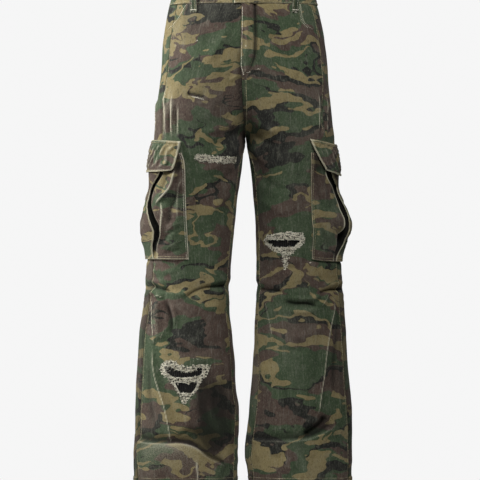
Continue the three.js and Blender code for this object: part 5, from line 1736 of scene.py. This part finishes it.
class Band:
    """The strip from its hidden end at the right of the middle, round the left side, the back and the
    right side, to the end that laps over. d is the place along it."""

    def __init__(self):
        Ll, Lr = LEGS["left"], LEGS["right"]
        self.lb = float(Ll.q(Ll.find(0.0, 0.0), 0.0) + (1 - Ll.find(0.0, 0.0, face=1)) * Ll.total(0.0))
        self.rb = float(Lr.q(Lr.find(0.0, 0.0), 0.0) + (1 - Lr.find(0.0, 0.0, face=1)) * Lr.total(0.0))
        self.length = self.lb + self.rb + 2 * BAND_LAP
        self.lap = self.length - 2 * BAND_LAP - 34

    def at(self, d, z, lift):
        d, z, lift = np.broadcast_arrays(np.asarray(d, float), np.asarray(z, float), np.asarray(lift, float))
        e = d - BAND_LAP
        P, N = np.empty(d.shape + (3,)), np.empty(d.shape + (3,))
        zq = z
        for side in ("left", "right"):
            m = e < self.lb if side == "left" else e >= self.lb
            if not m.any():
                continue
            L = LEGS[side]
            T = L.total(zq[m])
            qm = L.find(np.zeros(int(m.sum())), zq[m]) * T
            qb = (L.find(np.zeros(int(m.sum())), zq[m], face=1) - 1) * T
            if side == "left":
                q = qm + e[m] / self.lb * (qb - qm)
            else:
                q = qm + (self.lb + self.rb - e[m]) / self.rb * (qb - qm)
            p, n = L.at(q / T, zq[m])
            n[:, 2] = 0
            n = n / np.linalg.norm(n, axis=1, keepdims=True)
            P[m], N[m] = p, n
        own = 0.6 + 3.4 * smooth(self.lap, self.length - 2 * BAND_LAP - 4, d)
        return P + N * (own + lift)[..., None], N


BAND = Band()


def build_band():
    R, C = 21, 361
    z = np.linspace(-20.0, 20.0, R)[:, None] * np.ones((1, C))
    d = np.linspace(0, BAND.length, C)[None, :] * np.ones((R, 1))
    e = np.minimum(z + 20, 20 - z)
    lift = 0.5 * np.exp(-((e - 2.2) / 2.2) ** 2) - 0.55 * np.exp(-((e - 5.0) / 1.3) ** 2) - 0.9 * np.exp(-(e / 0.8) ** 2)
    lift = lift + 0.35 * np.sin(2 * math.pi * (d + 1.5 * np.sin(d / 17)) / 11.5) * np.exp(-((e - 3) / 5) ** 2)
    lift = lift + 0.5 * noise(d / 40, z / 22, 101) + 0.25 * noise(d / 12, z / 12, 102)
    ends = np.minimum(d, BAND.length - d)
    lift = lift + 0.5 * np.exp(-((ends - 2.2) / 2.2) ** 2) - 0.9 * np.exp(-(ends / 0.9) ** 2)
    # the buttonhole's slit
    bx = BAND.length - 2 * BAND_LAP + BAND_LAP - 3.0
    slit = np.exp(-((z / 1.6) ** 2)) * smooth(11.5, 9.5, np.abs(d - bx - 3))
    lift = lift - 0.8 * slit
    wear_and_highlight = 0.9 * np.exp(-((20 - z) / 1.8) ** 2) + 0.55 * np.exp(-((z + 19) / 1.6) ** 2) + 0.8 * np.exp(-(ends / 2.0) ** 2) + 0.25 * np.clip(lift, 0, 1)
    P, N = BAND.at(d, z, lift)
    Pin = P - N * 2.6
    co = np.concatenate([P.reshape(-1, 3), Pin.reshape(-1, 3)])
    uv = np.stack([d * MM + 9.7, z * MM + 4.1], -1).reshape(-1, 2)
    n = R * C
    att = {"wear_and_highlight": np.concatenate([wear_and_highlight.ravel(), np.zeros(n)]), "rub": np.zeros(2 * n),
           "inside": np.concatenate([np.zeros(n), np.full(n, 0.55)])}
    ob = make_mesh("waistband_cloth", co, shell_polys(R, C, flip=facing(P, N)), np.concatenate([uv, uv]), att, mat=CAMO)
    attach(ob, "root"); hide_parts("waistband")
    for zz in (-18.2, -15.4, 17.6):
        dd = np.linspace(2.5, BAND.length - 2.5, 700)
        lz = np.full_like(dd, zz)
        k = np.minimum(lz + 20, 20 - lz)
        p, m = BAND.at(dd, lz, 0.45 - 0.5 * np.exp(-((k - 5.0) / 1.3) ** 2))
        stitch_line(p, m, "khaki")
    p, m = BAND.at(np.full(12, BAND.length - 2.4), np.linspace(-17, 17, 12), np.full(12, 0.5))
    stitch_line(p, m, "khaki")
    # buttonhole: close stitches across both sides of the slit and round its eye
    cut = []
    for k in range(26):
        t = k / 25.0
        for s in (-1, 1):
            x = bx - 7 + 18 * t
            a, na = BAND.at(np.array([x, x]), np.array([s * 0.8, s * 3.0]), np.array([0.5, 0.45]))
            STITCHES["khaki"].append((a[:1], a[1:], na[:1], np.array([0.36])))
    for k in range(14):
        ang = math.pi * (k / 13.0) - math.pi / 2
        r0, r1 = 1.6, 3.8
        a, na = BAND.at(np.array([bx + 11 + r0 * math.cos(ang), bx + 11 + r1 * math.cos(ang)]),
                        np.array([r0 * math.sin(ang), r1 * math.sin(ang)]), np.array([0.5, 0.45]))
        STITCHES["khaki"].append((a[:1], a[1:], na[:1], np.array([0.36])))
    return ob


build_band()

# ------------------------------------------------------------------ belt loops
LOOPS = [("belt_loop_front_left", "left", -1, 106), ("belt_loop_front_right", "right", -1, 108),
         ("belt_loop_back_left", "left", 1, 112), ("belt_loop_back_right", "right", 1, 112),
         ("belt_loop_back_middle", "right", 1, 0)]


def build_loop(name, side, face, x):
    L = LEGS[side]
    R, C = 45, 13
    z = np.linspace(-37.0, 19.0, R)
    lift = mono([(-37, 0.2), (-28, 0.4), (-21, 1.5), (-14, 2.4), (0, 2.7), (14, 2.3), (19, 0.5)])(z)
    s0 = L.find(np.full(R, L.sign * x, float), z, face=face) * L.total(z)
    if face > 0:
        s0 = s0 - L.total(z)
    half = 7.5
    w = np.linspace(-half, half, C)
    fray = np.zeros((R, C))
    q = s0[:, None] + w[None, :]
    zz = np.repeat(z[:, None], C, 1)
    zz[0] += 0.9 * np.sin(w * 2.1) + 0.6 * np.sin(w * 4.7)
    e = half - np.abs(w)[None, :] * np.ones((R, 1))
    D = 0.45 * np.exp(-((e - 1.2) / 1.2) ** 2) - 0.5 * np.exp(-((e - 3.4) / 1.0) ** 2) - 0.8 * np.exp(-(e / 0.7) ** 2)
    D = D + 0.35 * noise(w[None, :] / 4, zz / 9, 111) + 0.3 * np.exp(-((e - 7.5) / 1.6) ** 2)
    # bar tacks draw it in near both ends
    D = D - 0.6 * np.exp(-((zz + 33.5) / 1.6) ** 2) - 0.5 * np.exp(-((zz - 16.5) / 1.6) ** 2)
    P, N = L.at(q / L.total(zz), zz)
    N[..., 2] = 0
    N = N / np.linalg.norm(N, axis=-1, keepdims=True)
    P = P + N * (1.9 + 1.8 + lift[:, None] + D)[..., None]
    Pin = P - N * 1.9
    co = np.concatenate([P.reshape(-1, 3), Pin.reshape(-1, 3)])
    k = {"belt_loop_front_left": 0.11, "belt_loop_front_right": 0.59}.get(name, 0.31 + 0.07 * len(name))
    uv = np.stack([w[None, :] * MM * np.ones((R, 1)) + 11 + k, zz * MM + 5 + k], -1).reshape(-1, 2)
    wear_and_highlight = 1.05 * np.exp(-(e / 1.2) ** 2) * (0.8 + 0.5 * noise(zz / 6, e, 112)) + 0.7 * np.exp(-((zz + 37) / 1.8) ** 2)
    # the loop is darker away from its edges
    shade_and_soil = 0.62 * smooth(1.2, 2.6, e) * (0.8 + 0.4 * noise(zz / 8, w[None, :] / 5, 113))
    n = R * C
    att = {"wear_and_highlight": np.concatenate([wear_and_highlight.ravel(), np.zeros(n)]), "rub": np.zeros(2 * n), "inside": np.concatenate([np.zeros(n), np.full(n, 0.4)]),
           "shade_and_soil": np.concatenate([shade_and_soil.ravel(), np.zeros(n)])}
    ob = make_mesh(name + "_cloth", co, shell_polys(R, C, flip=facing(P, N)), np.concatenate([uv, uv]), att, mat=CAMO)
    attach(ob, "root"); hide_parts(name)
    for ww in (-4.1, 4.1):
        j = int(round((ww + half) / (2 * half) * (C - 1)))
        stitch_line(P[1:-1, j], N[1:-1, j], "pale" if ww < 0 else "khaki", r=0.48, sink=-0.05)
    # bar tacks: dense stitches right across
    for zc in (-33.5, 16.5):
        i = int(np.argmin(np.abs(z - zc)))
        for t in range(17):
            f = t / 16.0
            j = f * (C - 1)
            j0 = int(min(C - 2, j))
            a = mix(P[i - 1, j0], P[i - 1, j0 + 1], j - j0)
            b = mix(P[i + 1, j0], P[i + 1, j0 + 1], j - j0)
            STITCHES["pale" if zc < 0 else "khaki"].append((a[None] + N[i, j0] * 0.2, b[None] + N[i, j0] * 0.2 + (P[i, min(j0 + 1, C - 1)] - P[i, j0])[None] * 0.5, N[i, j0][None], np.array([0.38])))
    return P, N


LOOP_ENDS = []
for name, side, face, x in LOOPS:
    P, N = build_loop(name, side, face, x)
    LOOP_ENDS.append((P[0], N[0]))

# ------------------------------------------------------------------ fly shield, button, backing cloth


def build_fly_shield():
    R, C = 49, 13
    z = np.linspace(-170.0, -24.0, R)[:, None] * np.ones((1, C))
    t = (z + 24) / -146
    x = (-19 + 40 * np.linspace(0, 1, C))[None, :] - 2 * t
    P = np.empty((R, C, 3)); N = np.empty((R, C, 3))
    mid = middle_at(z)
    for side in ("left", "right"):
        L = LEGS[side]
        m = x < mid if side == "left" else x >= mid
        p, n = L.at(L.find(x[m], z[m]), z[m])
        n[:, 0] = 0
        n = n / np.linalg.norm(n, axis=1, keepdims=True)
        P[m], N[m] = p, n
    P[..., 0] = x
    e = np.minimum(np.abs(x - x[:, :1]), np.abs(x[:, -1:] - x))
    D = -WALL - 0.9 - 0.6 * np.abs(noise(x / 14, z / 30, 121)) - 0.5 * np.exp(-(e / 1.2) ** 2) - 0.5
    P = P + N * D[..., None]
    Pin = P - N * 1.4
    co = np.concatenate([P.reshape(-1, 3), Pin.reshape(-1, 3)])
    uv = np.stack([x * MM + 13.4, z * MM + 6.1], -1).reshape(-1, 2)
    n = R * C
    att = {"wear_and_highlight": np.zeros(2 * n), "rub": np.zeros(2 * n), "inside": np.full(2 * n, 0.7)}
    ob = make_mesh("fly_shield_cloth", co, shell_polys(R, C, flip=facing(P, N)), np.concatenate([uv, uv]), att, mat=CAMO)
    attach(ob, "root"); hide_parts("fly_shield")


build_fly_shield()


def build_button():
    """Shank button: a turned cap with a raised rim, rings and a domed middle, on its stem."""
    lo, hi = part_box("shank_button")
    c = (np.array(lo) + np.array(hi)) / 2 / MM
    front = float(lo[1]) / MM
    r = 8.5
    prof = [(0.0, 0.55), (1.0, 0.5), (1.9, 0.25), (2.3, 0.45), (2.7, 0.25), (3.3, 0.35), (4.3, 0.6), (5.2, 0.75),
            (5.6, 0.95), (6.0, 0.72), (6.4, 0.25), (7.0, 0.0), (7.6, 0.05), (8.1, 0.35), (8.45, 0.9), (8.5, 1.35), (8.2, 1.8),
            (7.4, 2.1), (5.0, 2.25), (3.2, 2.35), (3.0, 3.0), (3.1, 3.75)]
    seg = 56
    co, quads, tris = [(c[0], front + prof[0][1], c[2])], [], []
    for k, (rr, dy) in enumerate(prof[1:]):
        for s in range(seg):
            a = 2 * math.pi * s / seg
            # a milled rim
            q = rr * (1 + (0.006 if 10 < k < 15 and s % 2 else 0))
            co.append((c[0] + q * math.cos(a), front + dy, c[2] + q * math.sin(a)))
    for s in range(seg):
        tris.append((0, 1 + s, 1 + (s + 1) % seg))
    for k in range(len(prof) - 2):
        b0, b1 = 1 + k * seg, 1 + (k + 1) * seg
        for s in range(seg):
            quads.append((b0 + s, b1 + s, b1 + (s + 1) % seg, b0 + (s + 1) % seg))
    ob = make_mesh("shank_button_cap", np.array(co, float), [np.array(tris), np.array(quads)], mat=BRASS)
    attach(ob, "root"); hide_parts("shank_button")


build_button()


def build_backing(name, side, x0, x1, z0, z1, ox):
    L = LEGS[side]
    R, C = 41, 61
    z = np.linspace(z1, z0, R)[:, None] * np.ones((1, C))
    x = np.linspace(x0, x1, C)[None, :] * np.ones((R, 1))
    P, N = L.at(L.find(x, z), z)
    q = L.q(L.find(x, z), z)
    D, _ = skin(side, q, z, "front")
    low = min_around(D, 3)
    edge = np.minimum(np.minimum(x - x0, x1 - x), np.minimum(z - z1, z0 - z))
    h = np.minimum(low, 0.4) - WALL - 1.3 - 0.9 * np.abs(noise(x / 26, z / 20, 131)) - 0.8 * smooth(6, 22, edge)
    P = P + N * h[..., None]
    Pin = P - N * 1.1
    co = np.concatenate([P.reshape(-1, 3), Pin.reshape(-1, 3)])
    uv = np.stack([x * MM + ox, z * MM], -1).reshape(-1, 2)
    ob = make_mesh(name + "_cloth", co, shell_polys(R, C, flip=facing(P, N)), np.concatenate([uv, uv]), {}, mat=BACKING)
    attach(ob, "root"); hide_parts(name)


build_backing("backing_knee_right", "right", 36, 136, -488, -560, 15.0)
build_backing("backing_shin_left", "left", -177, -76, -762, -858, 16.0)


# ------------------------------------------------------------------ stitching on the legs
def skin_line(side, q, z, part="front", lift=0.12):
    D, _ = skin(side, q, z, part)
    return on_leg(side, q, z, D + lift)


def stitch_legs():
    for side in ("left", "right"):
        L = LEGS[side]
        z = np.arange(HEM_Z + 2, -22, 3.0)
        qo, qf, qb = edges_q(side, z)
        # outseam: one row on the front's edge above the pocket, and another below it
        for dist in (2.6, 6.2):
            for zs in (z[z > FLAP_TOP + 4], z[z < POCKET_BOTTOM - 4]):
                qo_ = edges_q(side, zs)[0]
                P, N = skin_line(side, qo_ + dist, zs)
                stitch_line(P, N, "khaki" if dist > 4 else "drab", miss=0.04, seed=3)
        # inseam
        zs = z[z < CROTCH_Z - 4]
        q = edges_q(side, zs)[1]
        P, N = skin_line(side, q - 3.0, zs)
        stitch_line(P, N, "khaki", miss=0.06, seed=4)
        # hem
        for part in ("front", "back"):
            qo_, qf_, qb_ = (float(v) for v in edges_q(side, np.array(HEM_Z + 22.5)))
            a, b = (qo_ + 1, qf_ - 1) if part == "front" else (qb_ + 1, qo_ - 1)
            qq = np.linspace(a, b, 140)
            zz = HEM_Z + 22.5 + 0.8 * noise(qq / 30, qq * 0, 141)
            P, N = skin_line(side, qq, zz, part)
            stitch_line(P, N, "khaki", sink=0.25)
        # front pocket opening, two rows on the cloth beside the slant
        line = OPENING[side]
        hand = 1.0 if side == "left" else -1.0
        d = np.gradient(line, axis=0)
        d = d / (np.linalg.norm(d, axis=1, keepdims=True) + 1e-9)
        perp = np.stack([-d[:, 1], d[:, 0]], 1)
        for dist in (2.2, 6.0):
            for sgn in (1, -1):
                o = line + perp * dist * sgn
                # the row on the fly's side
                if (o[:, 0].mean() - line[:, 0].mean()) > 0:
                    k = (o[:, 1] > -74) & (o[:, 1] < -22)
                    P, N = skin_line(side, o[k, 0], o[k, 1])
                    stitch_line(P, N, "khaki" if dist > 4 else "pale", r=0.46)
        # seat: back rise
        zs = np.arange(CROTCH_Z + 6, -24, 3.0)
        qb_ = edges_q(side, zs)[2]
        P, N = skin_line(side, qb_ + 3.0, zs, "back")
        stitch_line(P, N, "khaki")
        # front rise below the fly, right side laps
        zs = np.arange(CROTCH_Z + 6, -178, 3.0)
        qf_ = edges_q(side, zs)[1]
        if side == "right":
            for dist in (2.2, 6.2):
                P, N = skin_line(side, qf_ - dist, zs)
                stitch_line(P, N, "khaki" if dist > 4 else "drab")
    # fly: a row close to the lapped edge, and the curved double row
    zs = np.arange(-172, -24, 3.0)
    qe = edges_q("right", zs)[1]
    L = LEGS["right"]
    lap = fly_lap(zs)
    i, t = L.row(zs)
    mid = mix(L.mid[i], L.mid[i + 1], t)
    qq = L.q(L.find(mid - lap + 2.2, zs), zs)
    P, N = skin_line("right", qq, zs)
    stitch_line(P, N, "pale", r=0.46)
    line = JLINE
    d = np.gradient(line, axis=0)
    d = d / (np.linalg.norm(d, axis=1, keepdims=True) + 1e-9)
    perp = np.stack([-d[:, 1], d[:, 0]], 1)
    for dist in (0.0, 5.5):
        o = line + perp * dist * (1 if perp[:, 0].mean() < 0 else -1)
        k = (o[:, 1] < -23)
        P, N = skin_line("right", o[k, 0], o[k, 1])
        stitch_line(P, N, "drab", sink=0.2)


stitch_legs()

# ------------------------------------------------------------------ frayed threads
FRAYS = []


def thread(path, r, side_n):
    """A thin tube with three sides along a path (n, 3)."""
    FRAYS.append((np.asarray(path, float), r, np.asarray(side_n, float)))


def tubes(items):
    pts, quads, tris, base = [], [], [], 0
    for path, r, n in items:
        m = len(path)
        d = np.gradient(path, axis=0)
        d = d / (np.linalg.norm(d, axis=1, keepdims=True) + 1e-9)
        s = np.cross(d, n)
        ln = np.linalg.norm(s, axis=1, keepdims=True)
        s = np.where(ln < 1e-3, np.array([0.0, 1.0, 0.0]), s / (ln + 1e-9))
        u = np.cross(s, d)
        rr = r * np.clip(np.minimum(np.arange(m), m - 1 - np.arange(m)) + 0.45, 0.3, 1.0)[:, None]
        for k in range(3):
            a = 2 * math.pi * k / 3
            pts.append(path + (s * math.cos(a) + u * math.sin(a)) * rr)
        for k in range(3):
            k2 = (k + 1) % 3
            i = np.arange(m - 1)
            quads.append(np.stack([base + k * m + i, base + k2 * m + i, base + k2 * m + i + 1, base + k * m + i + 1], 1))
        tris.append(np.array([[base, base + m, base + 2 * m], [base + m - 1, base + 3 * m - 1, base + 2 * m - 1]]))
        base += 3 * m
    return np.concatenate(pts), [np.concatenate(quads), np.concatenate(tris)]


def leg_path(side, qs, zs, lift):
    D, _ = skin(side, qs, zs, "front")
    rub = rubbed(side, qs, zs, "front")
    P, N = on_leg(side, qs, zs, D - 0.5 * rub + lift)
    return P, N


def fray_patch(side, pts, seed, count, holes):
    """Weft threads, short curled ends and warp ends over a worn patch, clear of its holes."""
    rng = np.random.default_rng(seed)
    L = LEGS[side]
    p = np.array(pts, float)
    zz = cz(p[:, 1])
    poly = np.stack([L.q(L.find(cx(p[:, 0]), zz), zz), zz], 1)
    lo, hi = poly.min(0), poly.max(0)
    qs, zs, paths = [], [], []
    made = 0
    while made < count:
        q0, z0 = rng.uniform(lo[0] - 2, hi[0] + 2), rng.uniform(lo[1] - 2, hi[1] + 2)
        a = np.array([q0]), np.array([z0])
        if not inside(poly, *a)[0]:
            continue
        if any(inside(h, *a)[0] for h in holes):
            continue
        made += 1
        kind = rng.random()
        if kind < 0.55:          # a weft thread lying across
            ln, ang = rng.uniform(3, 11), rng.normal(0, 0.16)
        elif kind < 0.85:        # a short curled end
            ln, ang = rng.uniform(2, 5), rng.uniform(-math.pi, math.pi)
        else:                    # a warp end
            ln, ang = rng.uniform(2, 6), math.pi / 2 + rng.normal(0, 0.3)
        n = 6
        t = np.linspace(-0.5, 0.5, n)
        bend = rng.normal(0, 0.22) * ln
        q = q0 + t * ln * math.cos(ang) - bend * (t * t * 4 - 0.3) * math.sin(ang) + rng.normal(0, 0.16, n)
        z = z0 + t * ln * math.sin(ang) + bend * (t * t * 4 - 0.3) * math.cos(ang) * 0.5 + rng.normal(0, 0.16, n)
        paths.append((q, z, rng.uniform(0.1, 1.3) * (1 - 4 * t * t * rng.uniform(0.3, 1.0)) + 0.15, rng.uniform(0.26, 0.46)))
    Q = np.concatenate([v[0] for v in paths]); Z = np.concatenate([v[1] for v in paths])
    Lf = np.concatenate([v[2] for v in paths])
    P, N = leg_path(side, Q, Z, Lf)
    for k, v in enumerate(paths):
        thread(P[k * 6:k * 6 + 6], v[3], N[k * 6:k * 6 + 6])


def fray_edge(side, poly, seed, step=0.75, into=None):
    """Fringe of cut threads round a hole, longest where the threads are cut."""
    rng = np.random.default_rng(seed)
    seg = np.hypot(*(np.roll(poly, -1, 0) - poly).T)
    total = seg.sum()
    s = np.concatenate([[0], np.cumsum(seg)])
    loop = np.concatenate([poly, poly[:1]])
    n = int(total / step)
    Q, Z, Lf, R = [], [], [], []
    cen = poly.mean(0)
    for k in range(n):
        u = rng.uniform(0, total)
        q0, z0 = np.interp(u, s, loop[:, 0]), np.interp(u, s, loop[:, 1])
        q1, z1 = np.interp((u + 1) % total, s, loop[:, 0]), np.interp((u + 1) % total, s, loop[:, 1])
        tx, tz = q1 - q0, z1 - z0
        nrm = math.hypot(tx, tz) + 1e-6
        nx, nz = -tz / nrm, tx / nrm
        if nx * (cen[0] - q0) + nz * (cen[1] - z0) < 0:
            nx, nz = -nx, -nz
        out = rng.random() < 0.76
        ln = (rng.uniform(1.5, 5.0) if out else rng.uniform(0.6, 1.8)) * (1.7 if rng.random() < 0.12 else 1.0)
        dirx = (nx if not out else -nx) + rng.normal(0, 0.5) + (tx / nrm) * rng.normal(0, 0.8)
        dirz = (nz if not out else -nz) + rng.normal(0, 0.5) + (tz / nrm) * rng.normal(0, 0.8)
        dn = math.hypot(dirx, dirz) + 1e-6
        dirx, dirz = dirx / dn, dirz / dn
        t = np.linspace(0, 1, 6)
        curl = rng.normal(0, 0.5) * ln
        q = q0 + dirx * ln * t - dirz * curl * t * t
        z = z0 + dirz * ln * t + dirx * curl * t * t - (0.15 * ln * t * t)
        Q.append(q); Z.append(z)
        Lf.append(rng.uniform(-0.9, 0.5) + t * rng.uniform(-0.6, 1.6)); R.append(rng.uniform(0.26, 0.44))
    P, N = leg_path(side, np.concatenate(Q), np.concatenate(Z), np.concatenate(Lf))
    for k in range(n):
        thread(P[k * 6:k * 6 + 6], R[k], N[k * 6:k * 6 + 6])


def worn_edge(side, poly, seed, passes=3):
    """Rolled cord of twisted ends right along the edge of a hole."""
    rng = np.random.default_rng(seed)
    loop = np.concatenate([poly, poly[:1]])
    seg = np.hypot(*np.diff(loop, axis=0).T)
    s = np.concatenate([[0], np.cumsum(seg)])
    for k in range(passes):
        off = rng.uniform(0, 6)
        u = off
        while u < s[-1]:
            ln = rng.uniform(5, 12)
            t = np.linspace(u, min(u + ln, s[-1]), 7)
            q = np.interp(t, s, loop[:, 0]) + rng.normal(0, 0.5, 7)
            z = np.interp(t, s, loop[:, 1]) + rng.normal(0, 0.5, 7)
            # it rolls back onto the cloth
            cen = poly.mean(0)
            q = q + 0.7 * np.sign(q - cen[0]) * (np.abs(q - cen[0]) > 12)
            z = z + 0.8 * np.sign(z - cen[1])
            P, N = leg_path(side, q, z, rng.uniform(-0.8, 0.6) + rng.normal(0, 0.15, 7))
            thread(P, rng.uniform(0.38, 0.62), N)
            u += ln * rng.uniform(0.55, 0.9)


hl = [OUTLINES["shin_upper"][1], OUTLINES["shin_lower"][1]]
hr = [OUTLINES["knee"][1]]
fray_patch("left", RUBS["left"][0][0], 201, 260, [])
fray_patch("left", RUBS["left"][1][0], 202, 250, hl)
fray_patch("right", RUBS["right"][0][0], 203, 330, hr)
for k, (name, (s, poly)) in enumerate(OUTLINES.items()):
    fray_edge(s, poly, 211 + k, 0.9 if name == "knee" else 1.15)
    worn_edge(s, poly, 221 + k)
# the ends of a small cut on the thigh
rng = np.random.default_rng(229)
for k in range(9):
    x0 = rng.uniform(187, 198)
    xx = np.linspace(x0, x0 + rng.uniform(3, 7), 6)
    zz = cz(95.6 + (xx - 187) * 0.20 + rng.uniform(-0.3, 0.9))
    qq = LEGS["left"].q(LEGS["left"].find(cx(xx), zz), zz)
    P, N = leg_path("left", qq, zz + rng.normal(0, 0.25, 6), 0.35)
    thread(P, 0.30, N)
# weft threads that still bridge the shin holes' left corner and hang at the loops' ends
rng = np.random.default_rng(231)
for k in range(5):
    zc = -786 - k * 3.2
    q0 = float(LEGS["left"].q(LEGS["left"].find(np.array(-173.0 + rng.uniform(-1, 1)), np.array(zc)), zc))
    t = np.linspace(0, 1, 8)
    q = q0 + t * rng.uniform(9, 18)
    P, N = leg_path("left", q, zc - 2.2 * np.sin(math.pi * t) + rng.normal(0, 0.2, 8), 0.1 - 1.2 * np.sin(math.pi * t))
    thread(P, 0.32, N)
for P0, N0 in LOOP_ENDS:
    for k in range(9):
        j = rng.integers(0, len(P0))
        t = np.linspace(0, 1, 5)[:, None]
        d = np.array([rng.normal(0, 0.5), 0, -1.0]) * rng.uniform(1.5, 4.0)
        thread(P0[j] - N0[j] * 0.8 + d * t + np.array([rng.normal(0, 0.4), 0, 0]) * t * t, 0.26, np.repeat(N0[j][None], 5, 0))
pts, polys = tubes(FRAYS)
ob = make_mesh("frayed_threads", pts, polys, mat=PALE_THREAD)
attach(ob, "root")


# ------------------------------------------------------------------ joined stitch meshes
for key, mat in (("khaki", KHAKI_THREAD), ("pale", PALE_THREAD), ("drab", DARK_THREAD)):
    if STITCHES[key]:
        pts, polys = capsules(STITCHES[key])
        ob = make_mesh("stitches_" + key, pts, polys, mat=mat)
        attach(ob, "root")


# ------------------------------------------------------------------ floor, light and camera
def stage_material(name, rgb, rough=0.9):
    g = Nodes(name)
    tc = g.n("ShaderNodeTexCoord").outputs["Object"]
    n = g.noise(tc, 3.0, 3.0, 0.6).outputs["Fac"]
    col = g.mixc(n, rgb, tuple(c * 0.985 for c in rgb[:3]) + (1.0,))
    g.link(col, g.bsdf.inputs["Base Color"])
    g.bsdf.inputs["Roughness"].default_value = rough
    g.bsdf.inputs["Specular IOR Level"].default_value = 0.0
    return g.m


def cyclorama():
    """Round flat floor, its rim turned down a little, all round so that every side has it."""
    z0 = float(CAD_BOX[0][2]) - 0.014
    rings = [(0.0, z0), (0.25, z0), (0.45, z0), (0.54, z0 - 0.001), (0.56, z0 - 0.003)]
    seg = 96
    co, faces = [(0, 0, z0)], []
    for r, z in rings[1:]:
        for k in range(seg):
            a = 2 * math.pi * k / seg
            co.append((r * math.cos(a), r * math.sin(a), z))
    tris, quads = [], []
    for k in range(seg):
        tris.append((0, 1 + k, 1 + (k + 1) % seg))
    for i in range(len(rings) - 2):
        b0, b1 = 1 + i * seg, 1 + (i + 1) * seg
        for k in range(seg):
            quads.append((b0 + k, b1 + k, b1 + (k + 1) % seg, b0 + (k + 1) % seg))
    ob = make_mesh("floor", np.array(co) / MM, [np.array(tris), np.array(quads)], mat=stage_material("pale_floor", (0.97, 0.97, 0.97, 1)))
    return ob


cyclorama()

AMBIENT = 0.10
world = bpy.data.worlds.new("soft_world")
bpy.context.scene.world = world
world.use_nodes = True
wt = world.node_tree
wt.nodes["Background"].inputs[0].default_value = (0.92, 0.92, 0.92, 1.0)
wt.nodes["Background"].inputs[1].default_value = 1.0
# the pale studio shows at its full brightness and gives the object a softer share of its light
soft = wt.nodes.new("ShaderNodeBackground")
soft.inputs[0].default_value = (0.97, 0.985, 1.0, 1.0)
soft.inputs[1].default_value = AMBIENT
lp = wt.nodes.new("ShaderNodeLightPath")
ms = wt.nodes.new("ShaderNodeMixShader")
wt.links.new(lp.outputs["Is Camera Ray"], ms.inputs[0])
wt.links.new(soft.outputs[0], ms.inputs[1])
wt.links.new(wt.nodes["Background"].outputs[0], ms.inputs[2])
wt.links.new(ms.outputs[0], wt.nodes["World Output"].inputs[0])


def area_light(name, loc, target, size, power, colour=(1, 1, 1)):
    d = bpy.data.lights.new(name, "AREA")
    d.shape, d.size, d.energy, d.color = "DISK", size, power, colour
    o = bpy.data.objects.new(name, d)
    bpy.context.scene.collection.objects.link(o)
    o.location = loc
    from mathutils import Vector
    o.rotation_euler = (Vector(target) - Vector(loc)).to_track_quat("-Z", "Y").to_euler()
    return o


key = area_light("key", (-2.3, -0.14, 0.80), (-0.12, 0, -0.12), 0.5, 12.8, (1.0, 0.99, 0.97))
key.data.spread = math.radians(60)
fill = area_light("fill", (0.30, -1.6, 1.05), (0.04, 0, -0.16), 0.9, 5.0, (1.0, 0.99, 0.98))
fill.data.spread = math.radians(60)
low = area_light("low", (-0.95, -1.05, -0.45), (-0.25, -0.08, -0.74), 0.35, 0.50, (1.0, 0.99, 0.98))
low.data.spread = math.radians(34)
back = area_light("back", (0.7, 2.5, 0.9), (0.0, 0, -0.45), 1.2, 20, (1.0, 0.99, 0.98))

cam_data = bpy.data.cameras.new("camera")
cam = bpy.data.objects.new("camera", cam_data)
bpy.context.scene.collection.objects.link(cam)
CAM_DISTANCE = 10.0
FRAME_WIDTH = 480 * UNIT * MM
cam.location = (float(cx(240)) * MM, -CAM_DISTANCE, float(cz(240)) * MM)
cam.rotation_euler = (math.pi / 2, 0, 0)
cam_data.sensor_width = 36.0
cam_data.lens = 36.0 * (CAM_DISTANCE - 0.10) / FRAME_WIDTH
cam_data.clip_end = 60.0
cam_data.dof.use_dof = False
bpy.context.scene.camera = cam
bpy.context.scene.view_settings.view_transform = "Standard"
bpy.context.scene.view_settings.look = "None"
